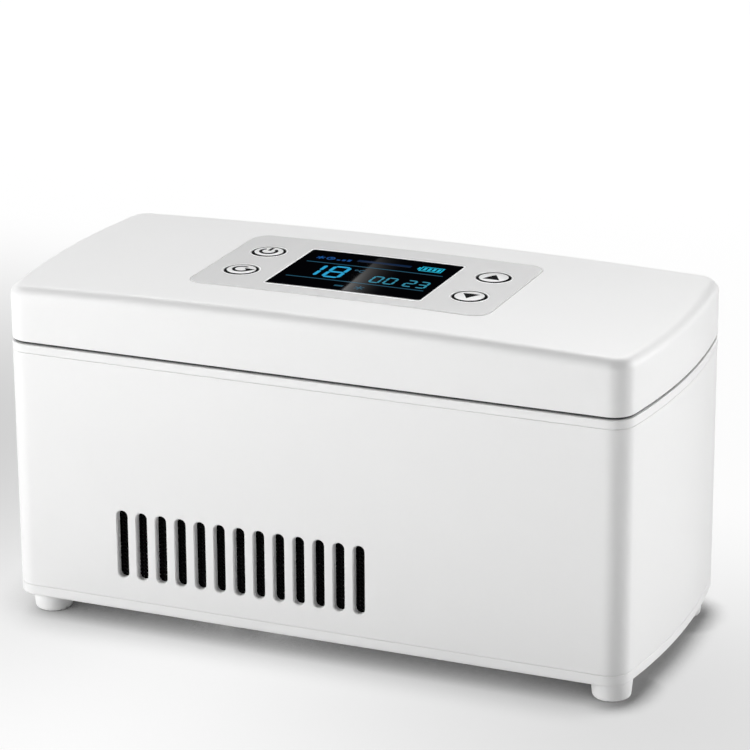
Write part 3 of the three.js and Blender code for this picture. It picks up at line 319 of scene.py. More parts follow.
SLOT_COUNT = 13
SLOT_PITCH = 6.5 * MM
SLOT_WIDTH = 3.5 * MM
SLOT_LENGTH = 21.8 * MM
SLOT_FLARE = 0.32 * MM  # chamfer round each slot's outer edge
SLOT_STEPS = 6
screen_low, screen_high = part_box("front_dust_screen")
SLOT_X = (screen_low.x + screen_high.x) / 2
SLOT_Z = (screen_low.z + screen_high.z) / 2


def slot_ring(growth, y):
    """One upright slot with round ends, grown all round, at a depth."""
    radius = SLOT_WIDTH / 2 + growth
    straight = (SLOT_LENGTH - SLOT_WIDTH) / 2
    quarter = [(radius, 0)] + arc(0, straight, radius, 0, math.pi / 2, SLOT_STEPS)
    return [(x, y, z) for x, z in mirrored(quarter)]


def slot_tool(outward):
    """The tool for one slot, in the front wall where outward is -1 and in the back wall where it is 1."""
    face = BODY_Y + outward * HALF_DEPTH
    return lofted("slot", [
        slot_ring(SLOT_FLARE + OVERRUN, face + outward * OVERRUN),
        slot_ring(0, face - outward * SLOT_FLARE),
        slot_ring(0, face - outward * (WALL + OVERRUN)),
    ])


# A row of like cuts through a wall.
row_tree, row_in, row_out = node_group(
    "Geometry", "row_of_slots",
    {"Wall": "Geometry", "Tool": "Object", "Count": "Int", "First place": "Vector", "Pitch": "Vector",
     "Finish": "Material"},
    {"Wall": "Geometry"},
)
row_line = row_tree.nodes.new("GeometryNodeMeshLine")
row_line.mode = "OFFSET"
row_shape = row_tree.nodes.new("GeometryNodeObjectInfo")
row_copies = row_tree.nodes.new("GeometryNodeInstanceOnPoints")
row_real = row_tree.nodes.new("GeometryNodeRealizeInstances")
row_cut = row_tree.nodes.new("GeometryNodeMeshBoolean")
row_cut.operation = "DIFFERENCE"
row_cut.solver = "EXACT"
row_paint = row_tree.nodes.new("GeometryNodeSetMaterial")
linked(row_tree, [
    (row_in.outputs["Tool"], row_shape.inputs["Object"]),
    (row_in.outputs["Count"], row_line.inputs["Count"]),
    (row_in.outputs["First place"], row_line.inputs["Start Location"]),
    (row_in.outputs["Pitch"], row_line.inputs["Offset"]),
    (row_line.outputs["Mesh"], row_copies.inputs["Points"]),
    (row_shape.outputs["Geometry"], row_copies.inputs["Instance"]),
    (row_copies.outputs["Instances"], row_real.inputs["Geometry"]),
    (row_in.outputs["Wall"], row_cut.inputs["Mesh 1"]),
    (row_real.outputs["Geometry"], row_cut.inputs["Mesh 2"]),
    (row_cut.outputs["Mesh"], row_paint.inputs["Geometry"]),
    (row_in.outputs["Finish"], row_paint.inputs["Material"]),
    (row_paint.outputs["Geometry"], row_out.inputs["Wall"]),
])

sleeve_rims = rounding(JOINT_EDGE)
sleeve = lofted(
    "sleeve",
    [case_ring(inset, sleeve_low.z + rise) for inset, rise in reversed(sleeve_rims)]
    + [case_ring(inset, sleeve_high.z - drop) for inset, drop in sleeve_rims]
    + [case_ring(WALL, sleeve_high.z), case_ring(WALL, sleeve_low.z)],
    closed=True,
)

FOOT_X = 92 * MM
FOOT_Y = 33.6 * MM
BOSS_RADIUS = 4 * MM
BOSS_BORE = 1.6 * MM
BOSS_DEPTH = 16 * MM
BOSS_WEB = 1.5 * MM  # half of the thickness of the web that ties a boss to the end wall
BOSS_WEB_END = 3.6 * MM  # how far inside the case's length the web ends
boss_top = sleeve_low.z + BOSS_DEPTH
bosses = []
bores = []
for side, face in CORNERS:
    x = side * FOOT_X
    y = face * FOOT_Y
    web_ends = sorted([x, side * (HALF_LENGTH - BOSS_WEB_END)])
    web_y = BODY_Y + y
    bosses.append(post(BOSS_RADIUS, x, y, sleeve_low.z, boss_top))
    bosses.append(block(
        (web_ends[0], web_y - BOSS_WEB, sleeve_low.z), (web_ends[1], web_y + BOSS_WEB, boss_top),
    ))
    bores.append(post(BOSS_BORE, x, y, sleeve_low.z - OVERRUN, boss_top + OVERRUN))
worked(sleeve, "UNION", *bosses)
worked(sleeve, "DIFFERENCE", *bores)

INLET_HOLE = 4.5 * MM
inlet_low, inlet_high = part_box("power_inlet")
INLET_X = (inlet_low.x + inlet_high.x) / 2
INLET_Z = (inlet_low.z + inlet_high.z) / 2
back_face = BODY_Y + HALF_DEPTH


def round_rings_along_y(x, z, stations):
    """Rings about an axis along Y. Each station is a radius and a y."""
    return [[(x + px, y, z + pz) for px, pz in round_outline(radius)] for radius, y in stations]


worked(sleeve, "DIFFERENCE", lofted("inlet_hole", round_rings_along_y(INLET_X, INLET_Z, [
    (INLET_HOLE, back_face - WALL - OVERRUN),
    (INLET_HOLE, back_face - SLOT_FLARE),
    (INLET_HOLE + SLOT_FLARE + OVERRUN, back_face + OVERRUN),
])))

slot_tools = joined("slot_tools", slot_tool(-1), slot_tool(1))
run_through(sleeve, row_tree, {
    "Tool": slot_tools,
    "Count": SLOT_COUNT,
    "First place": (SLOT_X - SLOT_PITCH * (SLOT_COUNT - 1) / 2, 0, SLOT_Z),
    "Pitch": (SLOT_PITCH, 0, 0),
    "Finish": white_plastic,
})
discard(slot_tools)
finished(sleeve, white_plastic)
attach(sleeve, "case")
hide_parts("body_sleeve")

# Dust screens
# Fine black nylon nets, die-cut and heat-staked behind the front and back air slots. They keep fluff out
# of the fan and make the slots look dark.
CELL = 1.15 * MM
OPENING = 0.62  # share of a cell's width that is open
# Black that is partly the nets' own colour and partly painted shade for the insides of the slots.
screen_black = grained(
    "screen_black", (0.003, 0.003, 0.003), (0.002, 0.002, 0.002), (0.8, 0.95), grain=4000,
    Specular_IOR_Level=0.05,
)

# A grid whose cells are drawn in and left open, thickened and set upright.
net_tree, net_in, net_out = node_group(
    "Geometry", "net",
    {"Length": "Float", "Height": "Float", "Thickness": "Float", "Cells across": "Int", "Cells up": "Int",
     "Opening": "Float", "Middle": "Vector", "Turn": "Vector", "Finish": "Material"},
    {"Net": "Geometry"},
)
net_grid = net_tree.nodes.new("GeometryNodeMeshGrid")
net_cells = net_tree.nodes.new("GeometryNodeExtrudeMesh")
net_cells.mode = "FACES"
net_cells.inputs["Offset Scale"].default_value = 0
net_cells.inputs["Individual"].default_value = True
net_shrink = net_tree.nodes.new("GeometryNodeScaleElements")
net_shrink.domain = "FACE"
net_open = net_tree.nodes.new("GeometryNodeDeleteGeometry")
net_open.domain = "FACE"
net_flip = net_tree.nodes.new("GeometryNodeFlipFaces")
net_thick = net_tree.nodes.new("GeometryNodeExtrudeMesh")
net_thick.mode = "FACES"
net_thick.inputs["Individual"].default_value = False
net_join = net_tree.nodes.new("GeometryNodeJoinGeometry")
net_merge = net_tree.nodes.new("GeometryNodeMergeByDistance")
net_merge.inputs["Distance"].default_value = MM / 1000
net_place = net_tree.nodes.new("GeometryNodeTransform")
net_real = net_tree.nodes.new("GeometryNodeRealizeInstances")
net_paint = net_tree.nodes.new("GeometryNodeSetMaterial")
linked(net_tree, [
    (net_in.outputs["Length"], net_grid.inputs["Size X"]),
    (net_in.outputs["Height"], net_grid.inputs["Size Y"]),
    (net_in.outputs["Cells across"], net_grid.inputs["Vertices X"]),
    (net_in.outputs["Cells up"], net_grid.inputs["Vertices Y"]),
    (net_grid.outputs["Mesh"], net_cells.inputs["Mesh"]),
    (net_cells.outputs["Mesh"], net_shrink.inputs["Geometry"]),
    (net_cells.outputs["Top"], net_shrink.inputs["Selection"]),
    (net_in.outputs["Opening"], net_shrink.inputs["Scale"]),
    (net_shrink.outputs["Geometry"], net_open.inputs["Geometry"]),
    (net_cells.outputs["Top"], net_open.inputs["Selection"]),
    (net_open.outputs["Geometry"], net_flip.inputs["Mesh"]),
    (net_open.outputs["Geometry"], net_thick.inputs["Mesh"]),
    (net_in.outputs["Thickness"], net_thick.inputs["Offset Scale"]),
    (net_flip.outputs["Mesh"], net_join.inputs["Geometry"]),
    (net_thick.outputs["Mesh"], net_join.inputs["Geometry"]),
    (net_join.outputs["Geometry"], net_merge.inputs["Geometry"]),
    (net_merge.outputs["Geometry"], net_place.inputs["Geometry"]),
    (net_in.outputs["Middle"], net_place.inputs["Translation"]),
    (net_in.outputs["Turn"], net_place.inputs["Rotation"]),
    (net_place.outputs["Geometry"], net_real.inputs["Geometry"]),
    (net_real.outputs["Geometry"], net_paint.inputs["Geometry"]),
    (net_in.outputs["Finish"], net_paint.inputs["Material"]),
    (net_paint.outputs["Geometry"], net_out.inputs["Net"]),
])

for label, turn in (("front", -math.pi / 2), ("rear", math.pi / 2)):
    low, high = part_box(label + "_dust_screen")
    net = placed(label + "_net", bpy.data.meshes.new(label + "_net"))
    size = high - low
    run_through(net, net_tree, {
        "Length": size.x,
        "Height": size.z,
        "Thickness": size.y,
        "Cells across": round(size.x / CELL),
        "Cells up": round(size.z / CELL),
        "Opening": OPENING,
        "Middle": (SLOT_X, low.y if label == "front" else high.y, SLOT_Z),
        "Turn": (turn, 0, 0),
        "Finish": screen_black,
    })
    finished(net, screen_black)
    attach(net, "case")
    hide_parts(label + "_dust_screen")

# Power inlet
# A black barrel jack for the charger, soldered to the control board. Its round nose comes through the
# back wall, and a plated centre pin stands in its bore.
INLET_NOSE = 4.2 * MM
INLET_BORE = 3.2 * MM
INLET_FLOOR = back_face - 9.5 * MM
INLET_LIP = 0.4 * MM
INLET_BODY_BACK = back_face - WALL - FIT
PIN_RADIUS = 1 * MM
PIN_END = back_face - 1 * MM
PIN_TIP = [(1, 0.6), (0.8, 0.2), (0.4, 0)]  # radius and distance from the end, as shares of PIN_RADIUS
black_plastic = grained(
    "black_plastic", (0.022, 0.022, 0.023), (0.013, 0.013, 0.014), (0.42, 0.58), relief=0.06,
)
plated_steel = grained(
    "plated_steel", (0.62, 0.62, 0.61), (0.52, 0.52, 0.52), (0.22, 0.36), grain=1800, Metallic=1,
)

inlet = lofted("inlet", round_rings_along_y(INLET_X, INLET_Z, [
    (INLET_NOSE, INLET_BODY_BACK - OVERRUN),
    (INLET_NOSE, back_face - INLET_LIP),
    (INLET_NOSE - INLET_LIP, back_face),
]))
worked(inlet, "UNION", block(
    (inlet_low.x, inlet_low.y, inlet_low.z), (inlet_high.x, INLET_BODY_BACK, inlet_high.z),
))
worked(inlet, "DIFFERENCE", lofted("bore", round_rings_along_y(INLET_X, INLET_Z, [
    (INLET_BORE, INLET_FLOOR),
    (INLET_BORE, back_face - INLET_LIP),
    (INLET_BORE + INLET_LIP + OVERRUN, back_face + OVERRUN),
])))
finished(inlet, black_plastic)
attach(inlet, "case")
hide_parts("power_inlet")

inlet_pin = lofted("inlet_pin", round_rings_along_y(INLET_X, INLET_Z, [(PIN_RADIUS, INLET_FLOOR)] + [
    (PIN_RADIUS * share, PIN_END - PIN_RADIUS * distance) for share, distance in PIN_TIP
]))
finished(inlet_pin, plated_steel, 50)
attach(inlet_pin, "case")

# Base plate
# The white floor of the case, moulded flat with a rounded lower edge and held to the sleeve by the foot
# screws. A round grille under the fan lets air in, and ribs and short posts stand on its inside.
BASE_ROUND = 0.9 * MM
BASE_LIP = 4 * MM
BASE_RIB = 1 * MM  # half of a rib's thickness
JOINT_GAP = 0.25 * MM  # between the sleeve and the plain faces inside that meet it
base_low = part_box("base_plate")[0]
BASE_TOP = sleeve_low.z - JOINT_GAP
SCREW_HOLE = 1.8 * MM
INTAKE_RADIUS = 28 * MM
INTAKE_WIDTH = 1.5 * MM  # half of a slot's width
INTAKE_PITCH = 5.6 * MM
POST_RADIUS = 2.5 * MM
POST_TOP = BASE_TOP + 4.2 * MM
fan_low, fan_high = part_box("fan_frame")
FAN_X = (fan_low.x + fan_high.x) / 2
board_low, board_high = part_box("control_board")

base_foot = reversed(rounding(BASE_ROUND, FILLET_STEPS))
base = lofted(
    "base",
    [case_ring(inset, base_low.z + rise) for inset, rise in base_foot]
    + [case_ring(inset, sleeve_low.z - HAIRLINE - drop) for inset, drop in rounding(JOINT_EDGE)],
)
rib_end = FOOT_X - BOSS_RADIUS - FIT
base_additions = []
for face, post_y in ((-1, board_low.y + POST_RADIUS), (1, board_high.y - POST_RADIUS)):
    rib_y = BODY_Y + face * (HALF_DEPTH - WALL - FIT - BASE_RIB)
    base_additions.append(block(
        (-rib_end, rib_y - BASE_RIB, BASE_TOP - OVERRUN),
        (rib_end, rib_y + BASE_RIB, BASE_TOP + BASE_LIP),
    ))
    for post_x in (board_low.x + POST_RADIUS, board_high.x - POST_RADIUS):
        base_additions.append(post(POST_RADIUS, post_x, post_y - BODY_Y, BASE_TOP - OVERRUN, POST_TOP))
worked(base, "UNION", *base_additions)


def intake_ring(slot, growth, z):
    """One air slot of the grille, counted from its middle and grown all round, at a height."""
    chord = math.sqrt(INTAKE_RADIUS**2 - (slot * INTAKE_PITCH) ** 2)
    radius = INTAKE_WIDTH + growth
    quarter = [(radius, 0)] + arc(0, chord - INTAKE_WIDTH, radius, 0, math.pi / 2, SLOT_STEPS)
    return ring(mirrored(quarter), z, FAN_X + slot * INTAKE_PITCH)


base_cuts = []
for side, face in CORNERS:
    x = side * FOOT_X
    y = face * FOOT_Y
    base_cuts.append(post(SCREW_HOLE, x, y, base_low.z - OVERRUN, BASE_TOP + OVERRUN))
intake_reach = math.floor((INTAKE_RADIUS - 2 * INTAKE_WIDTH) / INTAKE_PITCH)
for slot in range(-intake_reach, intake_reach + 1):
    base_cuts.append(lofted("intake", [
        intake_ring(slot, SLOT_FLARE + OVERRUN, base_low.z - OVERRUN),
        intake_ring(slot, 0, base_low.z + SLOT_FLARE),
        intake_ring(slot, 0, BASE_TOP + OVERRUN),
    ]))
worked(base, "DIFFERENCE", *base_cuts)
finished(base, white_plastic)
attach(base, "case")
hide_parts("base_plate")

# Feet and their screws
# Four short white feet, turned smooth with a rounded lower edge, each held by a long plated screw whose
# cross head sits in a recess. The screws go through the base into the sleeve's bosses and close the case.
FOOT_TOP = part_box("foot_front_left")[1].z
FOOT_TOP_RADIUS = 6.4 * MM
FOOT_BOTTOM_RADIUS = 5.8 * MM
FOOT_ROUND = 1.2 * MM
FOOT_RECESS = 3.1 * MM
FOOT_RECESS_DEPTH = 4.2 * MM
FOOT_RECESS_EDGE = 0.25 * MM
FOOT_EDGE = 0.3 * MM
FOOT_DRAFT = 0.05 * MM  # how far short of its full radius the foot is where its upper edge begins
LATHE_SIDES = 48
SCREW_SIDES = 24


def turned(name, profile, sides=LATHE_SIDES):
    """A form turned about the Z axis through the origin. A radius of nought closes it with a point."""
    mesh = bpy.data.meshes.new(name)
    made = bmesh.new()
    stations = []
    for radius, height in profile:
        if radius:
            angles = [2 * math.pi * i / sides for i in range(sides)]
            points = [(radius * math.cos(a), radius * math.sin(a), height) for a in angles]
        else:
            points = [(0, 0, height)]
        stations.append([made.verts.new(point) for point in points])
    for lower, upper in zip(stations, stations[1:] + stations[:1]):
        for i in range(sides):
            j = (i + 1) % sides
            under = [lower[k % len(lower)] for k in (i, j)]
            over = [upper[k % len(upper)] for k in (j, i)]
            corners = list(dict.fromkeys(under + over))
            if len(corners) > 2:
                made.faces.new(corners)
    bmesh.ops.recalc_face_normals(made, faces=made.faces)
    made.to_mesh(mesh)
    made.free()
    return placed(name, mesh)


# Copies of a shape on the corners of a rectangle.
corner_tree, corner_in, corner_out = node_group(
    "Geometry", "on_four_corners",
    {"Shape": "Geometry", "Length": "Float", "Width": "Float", "Middle": "Vector", "Finish": "Material"},
    {"Copies": "Geometry"},
)
corner_grid = corner_tree.nodes.new("GeometryNodeMeshGrid")
corner_grid.inputs["Vertices X"].default_value = 2
corner_grid.inputs["Vertices Y"].default_value = 2
corner_place = corner_tree.nodes.new("GeometryNodeTransform")
corner_copies = corner_tree.nodes.new("GeometryNodeInstanceOnPoints")
corner_real = corner_tree.nodes.new("GeometryNodeRealizeInstances")
corner_paint = corner_tree.nodes.new("GeometryNodeSetMaterial")
linked(corner_tree, [
    (corner_in.outputs["Length"], corner_grid.inputs["Size X"]),
    (corner_in.outputs["Width"], corner_grid.inputs["Size Y"]),
    (corner_grid.outputs["Mesh"], corner_place.inputs["Geometry"]),
    (corner_in.outputs["Middle"], corner_place.inputs["Translation"]),
    (corner_place.outputs["Geometry"], corner_copies.inputs["Points"]),
    (corner_in.outputs["Shape"], corner_copies.inputs["Instance"]),
    (corner_copies.outputs["Instances"], corner_real.inputs["Geometry"]),
    (corner_real.outputs["Geometry"], corner_paint.inputs["Geometry"]),
    (corner_in.outputs["Finish"], corner_paint.inputs["Material"]),
    (corner_paint.outputs["Geometry"], corner_out.inputs["Copies"]),
])


def on_four_corners(piece, length, width, middle, finish):
    """Repeats a piece, made at the origin, on the corners of a rectangle."""
    values = {"Length": length, "Width": width, "Middle": middle, "Finish": finish}
    run_through(piece, corner_tree, values)
    finished(piece, finish)


foot_edge = reversed(rounding(FOOT_ROUND, FILLET_STEPS))
feet = turned("feet", [(FOOT_BOTTOM_RADIUS - inset, rise) for inset, rise in foot_edge] + [
    (FOOT_TOP_RADIUS - FOOT_DRAFT, FOOT_TOP - FOOT_EDGE),
    (FOOT_TOP_RADIUS - FOOT_EDGE, FOOT_TOP),
    (SCREW_HOLE, FOOT_TOP),
    (SCREW_HOLE, FOOT_RECESS_DEPTH),
    (FOOT_RECESS, FOOT_RECESS_DEPTH),
    (FOOT_RECESS, FOOT_RECESS_EDGE),
    (FOOT_RECESS + FOOT_RECESS_EDGE, 0),
])
on_four_corners(feet, 2 * FOOT_X, 2 * FOOT_Y, (0, BODY_Y, 0), white_plastic)
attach(feet, "case")
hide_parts("foot_front_left", "foot_front_right", "foot_rear_left", "foot_rear_right")

HEAD_DOME = [(0.45, 0.97), (0.75, 0.82), (0.93, 0.52), (1, 0.2)]  # of the head's radius and height
SCREW_POINT = 1.6  # length of the point, of the shank's radius
SCREW_TIP = 0.25
CROSS_WIDTH = 0.28  # of the head's radius
CROSS_REACH = 0.62
CROSS_FLOOR = 0.4  # of the head's height, left between the cross and the head's underside


def cross_screw(name, radius, length, head_radius, head_height):
    """A pan-head screw that points up, with a cross recess and its head's underside at the origin."""
    head = [(head_radius * across, -head_height * up) for across, up in HEAD_DOME]
    screw = turned(name, [(0, -head_height)] + head + [
        (head_radius, 0),
        (radius, 0),
        (radius, length - radius * SCREW_POINT),
        (radius * SCREW_TIP, length),
        (0, length),
    ], SCREW_SIDES)
    half = head_radius * CROSS_WIDTH / 2
    reach = head_radius * CROSS_REACH
    low = -head_height - OVERRUN
    high = -head_height * CROSS_FLOOR
    worked(
        screw, "DIFFERENCE",
        block((-reach, -half, low), (reach, half, high)),
        block((-half, -reach, low), (half, reach, high)),
    )
    return screw


foot_screw_low, foot_screw_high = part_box("foot_screw_front_left")
SCREW_RADIUS = 1.5 * MM
SCREW_HEAD = 2.8 * MM
SCREW_HEAD_HEIGHT = 1.8 * MM
foot_seat = foot_screw_low.z + SCREW_HEAD_HEIGHT
foot_screws = cross_screw(
    "foot_screws", SCREW_RADIUS, foot_screw_high.z - foot_seat, SCREW_HEAD, SCREW_HEAD_HEIGHT,
)
on_four_corners(foot_screws, 2 * FOOT_X, 2 * FOOT_Y, (0, BODY_Y, foot_seat), plated_steel)
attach(foot_screws, "case")
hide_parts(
    "foot_screw_front_left", "foot_screw_front_right", "foot_screw_rear_left", "foot_screw_rear_right",
)

# Fan
# A black sixty-millimetre fan under the heat sink: a square moulded frame with four struts to its motor
# plate, and a seven-bladed rotor. Four long screws go up through the frame into the sink.
def dressed(finish, *names):
    """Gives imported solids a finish."""
    for name in names:
        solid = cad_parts[name]
        solid.data.materials.clear()
        solid.data.materials.append(finish)


fan_plastic = grained(
    "fan_plastic", (0.030, 0.030, 0.031), (0.018, 0.018, 0.019), (0.35, 0.5), relief=0.08,
)
dressed(fan_plastic, "fan_frame", "fan_rotor")

fan_screw_low, fan_screw_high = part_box("fan_screw_1")
fan_seat = fan_screw_low.z + SCREW_HEAD_HEIGHT
FAN_SPACING = 50 * MM
fan_screws = cross_screw(
    "fan_screws", SCREW_RADIUS, fan_screw_high.z - fan_seat, SCREW_HEAD, SCREW_HEAD_HEIGHT,
)
on_four_corners(fan_screws, FAN_SPACING, FAN_SPACING, (FAN_X, BODY_Y, fan_seat), plated_steel)
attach(fan_screws, "case")
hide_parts("fan_screw_1", "fan_screw_2", "fan_screw_3", "fan_screw_4")

# Cooling stack
# A black anodised heat sink with straight fins, a white ceramic thermoelectric module and a milled
# aluminium block that carries the cold to the chamber's floor, with a steel temperature probe beside it.
anodised = grained(
    "anodised", (0.035, 0.036, 0.038), (0.02, 0.02, 0.022), (0.35, 0.5), grain=900, stretch=(1, 0.03, 1),
    relief=0.05, Metallic=0.8,
)
ceramic = grained("ceramic", (0.86, 0.85, 0.81), (0.80, 0.79, 0.76), (0.5, 0.65), grain=3000)
milled_aluminium = grained(
    "milled_aluminium", (0.74, 0.75, 0.76), (0.66, 0.67, 0.69), (0.25, 0.42), grain=1200,
    stretch=(0.03, 1, 1), relief=0.05, Metallic=1,
)
dressed(anodised, "heat_sink")
dressed(ceramic, "thermoelectric_module")
dressed(milled_aluminium, "cold_block")
dressed(plated_steel, "temperature_probe")

# Battery and control board
# Three round cells in blue shrink wrap lie in a black moulded cradle. Beside the fan a green circuit
# board stands on the base's posts, with a round buzzer and a ferrite coil soldered to it.
cell_wrap = grained(
    "cell_wrap", (0.05, 0.20, 0.48), (0.03, 0.14, 0.38), (0.25, 0.4), grain=700, relief=0.05,
)
board_green = grained(
    "board_green", (0.02, 0.16, 0.07), (0.012, 0.09, 0.04), (0.3, 0.55), patch=350, grain=1500,
)
ferrite = grained(
    "ferrite", (0.07, 0.068, 0.066), (0.045, 0.044, 0.043), (0.6, 0.8), grain=2200, relief=0.2,
)
dressed(cell_wrap, "battery_cell_1", "battery_cell_2", "battery_cell_3")
dressed(black_plastic, "battery_cradle", "alarm_buzzer")
dressed(board_green, "control_board")
dressed(ferrite, "power_coil")

# Insulation
# Off-white rigid foam, moulded in one block round the cold chamber and the cold block.
rigid_foam = grained(
    "rigid_foam", (0.84, 0.82, 0.76), (0.74, 0.72, 0.66), (0.85, 0.97), patch=120, grain=900, relief=0.5,
)
dressed(rigid_foam, "insulation_block")

# Cold chamber
# The tray for pens and vials, drawn from thin aluminium sheet with round corners, brushed along its
# length and clear anodised. Its flange drops into a rebate in the deck.
chamber_low, chamber_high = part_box("chamber_liner")
CHAMBER_SHEET = 1.2 * MM
CHAMBER_HALF_LENGTH = 88 * MM
CHAMBER_HALF_DEPTH = 28 * MM
CHAMBER_RADIUS = 9 * MM
FLANGE = 4 * MM
FLANGE_THICKNESS = 1 * MM
FLANGE_EDGE = 0.3 * MM
FLANGE_EDGE_STEPS = 3
BEND = 0.9 * MM  # rounding from the flange into the wall
BEND_STEPS = 5
FLOOR_FILLET = 2.2 * MM
brushed_aluminium = grained(
    "brushed_aluminium", (0.80, 0.81, 0.82), (0.70, 0.71, 0.73), (0.24, 0.46), grain=1500,
    stretch=(0.02, 1, 1), relief=0.06, Metallic=1,
)


def rounded_outline(half_length, half_width, radius, side_steps=1):
    """A rectangle with round corners."""
    corner_x = half_length - radius
    corner_y = half_width - radius
    corner = arc(corner_x, corner_y, radius, 0, math.pi / 2, CORNER_STEPS)
    end = [(half_length, 0), (half_length, max(corner_y - HOLD, corner_y / 2))]
    return mirrored(end + corner + flat_side(corner_x, half_width, side_steps))


def chamber_ring(growth, z):
    return ring(rounded_outline(
        CHAMBER_HALF_LENGTH + growth, CHAMBER_HALF_DEPTH + growth, CHAMBER_RADIUS + growth,
    ), z)


chamber_floor = chamber_low.z + CHAMBER_SHEET
flange_under = chamber_high.z - FLANGE_THICKNESS
flange_reach = CHAMBER_SHEET + FLANGE
floor_fillet = rounding(FLOOR_FILLET, FILLET_STEPS)
flange_edge = rounding(FLANGE_EDGE, FLANGE_EDGE_STEPS)
chamber = lofted(
    "chamber",
    [chamber_ring(CHAMBER_SHEET - inset, chamber_low.z + rise) for inset, rise in reversed(floor_fillet)]
    + [chamber_ring(CHAMBER_SHEET, flange_under), chamber_ring(flange_reach, flange_under)]
    + [chamber_ring(flange_reach - inset, chamber_high.z - drop) for inset, drop in flange_edge]
    + [chamber_ring(inset, chamber_high.z - drop) for drop, inset in rounding(BEND, BEND_STEPS)]
    + [chamber_ring(-inset, chamber_floor + rise) for inset, rise in floor_fillet],
)
finished(chamber, brushed_aluminium)
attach(chamber, "case")
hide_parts("chamber_liner")

# Deck frame
# The white rim round the chamber, moulded with a lip that snaps inside the sleeve. Two pairs of hinge
# knuckles stand at its back edge, and a steel striker for the lid's magnet lies flush in its front.
DECK_TOP = chamber_high.z
DECK_BOTTOM = sleeve_high.z + JOINT_GAP
PLUG_DEPTH = 3.5 * MM  # how far the lid's plug hangs below the lid's rim
SEAT = 0.1 * MM  # room under a piece that lies in a pocket
LIP_INSET = WALL + FIT
LIP = 2 * MM
HINGE_X = 58 * MM
HINGE_Y = HALF_DEPTH
LID_KNUCKLE = 7 * MM  # half of the lid's knuckle
DECK_KNUCKLE = 8 * MM
KNUCKLE_GAP = 0.4 * MM
KNUCKLE_EDGE = 0.35 * MM
liner_low, liner_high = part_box("lid_liner")
LID_BOTTOM = liner_low.z + PLUG_DEPTH
SEAM = (DECK_TOP + LID_BOTTOM) / 2
KNUCKLE_RADIUS = SEAM - DECK_BOTTOM
HINGE_BORE = 1.3 * MM
striker_low, striker_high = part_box("striker_plate")

knuckles = {"lid": [], "deck": []}
for side in (-1, 1):
    middle = side * HINGE_X
    inner = LID_KNUCKLE + KNUCKLE_GAP
    outer = inner + DECK_KNUCKLE
    knuckles["lid"].append((middle - LID_KNUCKLE, middle + LID_KNUCKLE))
    knuckles["deck"] += [(middle - outer, middle - inner), (middle + inner, middle + outer)]


def on_hinge(name, stations):
    """A round form on the hinge's axis. Each station is an x and a radius."""
    return lofted(name, [
        [(x, BODY_Y + HINGE_Y + py, SEAM + pz) for py, pz in round_outline(radius)]
        for x, radius in stations
    ])


def barrel(left, right, radius, edge=0):
    """A round bar on the hinge's axis, with chamfered ends if it has an edge."""
    if not edge:
        return on_hinge("barrel", [(left, radius), (right, radius)])
    tip = radius - edge
    return on_hinge("barrel", [(left, tip), (left + edge, radius), (right - edge, radius), (right, tip)])


def hinged(piece, own, other):
    """Clears the other side's knuckles from a piece, adds its own and bores them for the pins."""
    rooms = [
        barrel(left - KNUCKLE_GAP, right + KNUCKLE_GAP, KNUCKLE_RADIUS + KNUCKLE_GAP)
        for left, right in knuckles[other]
    ]
    worked(piece, "DIFFERENCE", *rooms)
    worked(piece, "UNION", *[barrel(a, b, KNUCKLE_RADIUS, KNUCKLE_EDGE) for a, b in knuckles[own]])
    worked(piece, "DIFFERENCE", *[
        barrel(a - KNUCKLE_GAP / 2, b + KNUCKLE_GAP / 2, HINGE_BORE) for a, b in knuckles[own]
    ])


deck = lofted(
    "deck",
    [case_ring(inset, sleeve_high.z + HAIRLINE + rise)
     for inset, rise in reversed(rounding(JOINT_EDGE))]
    + [case_ring(inset, DECK_TOP - drop) for inset, drop in rounding(EDGE)],
)
lip_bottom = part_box("deck_frame")[0].z
worked(deck, "UNION", lofted("lip", [
    case_ring(LIP_INSET, lip_bottom),
    case_ring(LIP_INSET, DECK_BOTTOM + OVERRUN),
    case_ring(LIP_INSET + LIP, DECK_BOTTOM + OVERRUN),
    case_ring(LIP_INSET + LIP, lip_bottom),
], closed=True))
opening = CHAMBER_SHEET + FIT
rebate = flange_reach + FIT / 2
rebate_floor = flange_under - SEAT
over_deck = DECK_TOP + OVERRUN
worked(
    deck, "DIFFERENCE",
    lofted("opening", [chamber_ring(opening, lip_bottom - OVERRUN), chamber_ring(opening, over_deck)]),
    lofted("rebate", [chamber_ring(rebate, rebate_floor), chamber_ring(rebate, over_deck)]),
    block(
        striker_low - Vector((FIT / 2, FIT / 2, SEAT)),
        striker_high + Vector((FIT / 2, FIT / 2, OVERRUN)),
    ),
)
hinged(deck, "deck", "lid")
finished(deck, white_plastic)
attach(deck, "case")
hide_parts("deck_frame")
dressed(plated_steel, "striker_plate")

# Hinge pins
# Two plain steel pins with domed ends, pressed through the knuckles of the deck and the lid.
PIN_DOME = 0.4 * MM
PIN_DOME_TIP = 0.6  # of the pin's radius
for label in ("left", "right"):
    low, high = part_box("hinge_pin_" + label)
    radius = (high.z - low.z) / 2
    tip = radius * PIN_DOME_TIP
    pin = on_hinge(label + "_pin", [
        (low.x, tip), (low.x + PIN_DOME, radius), (high.x - PIN_DOME, radius), (high.x, tip),
    ])
    finished(pin, plated_steel, 50)
    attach(pin, "case")
    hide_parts("hinge_pin_" + label)

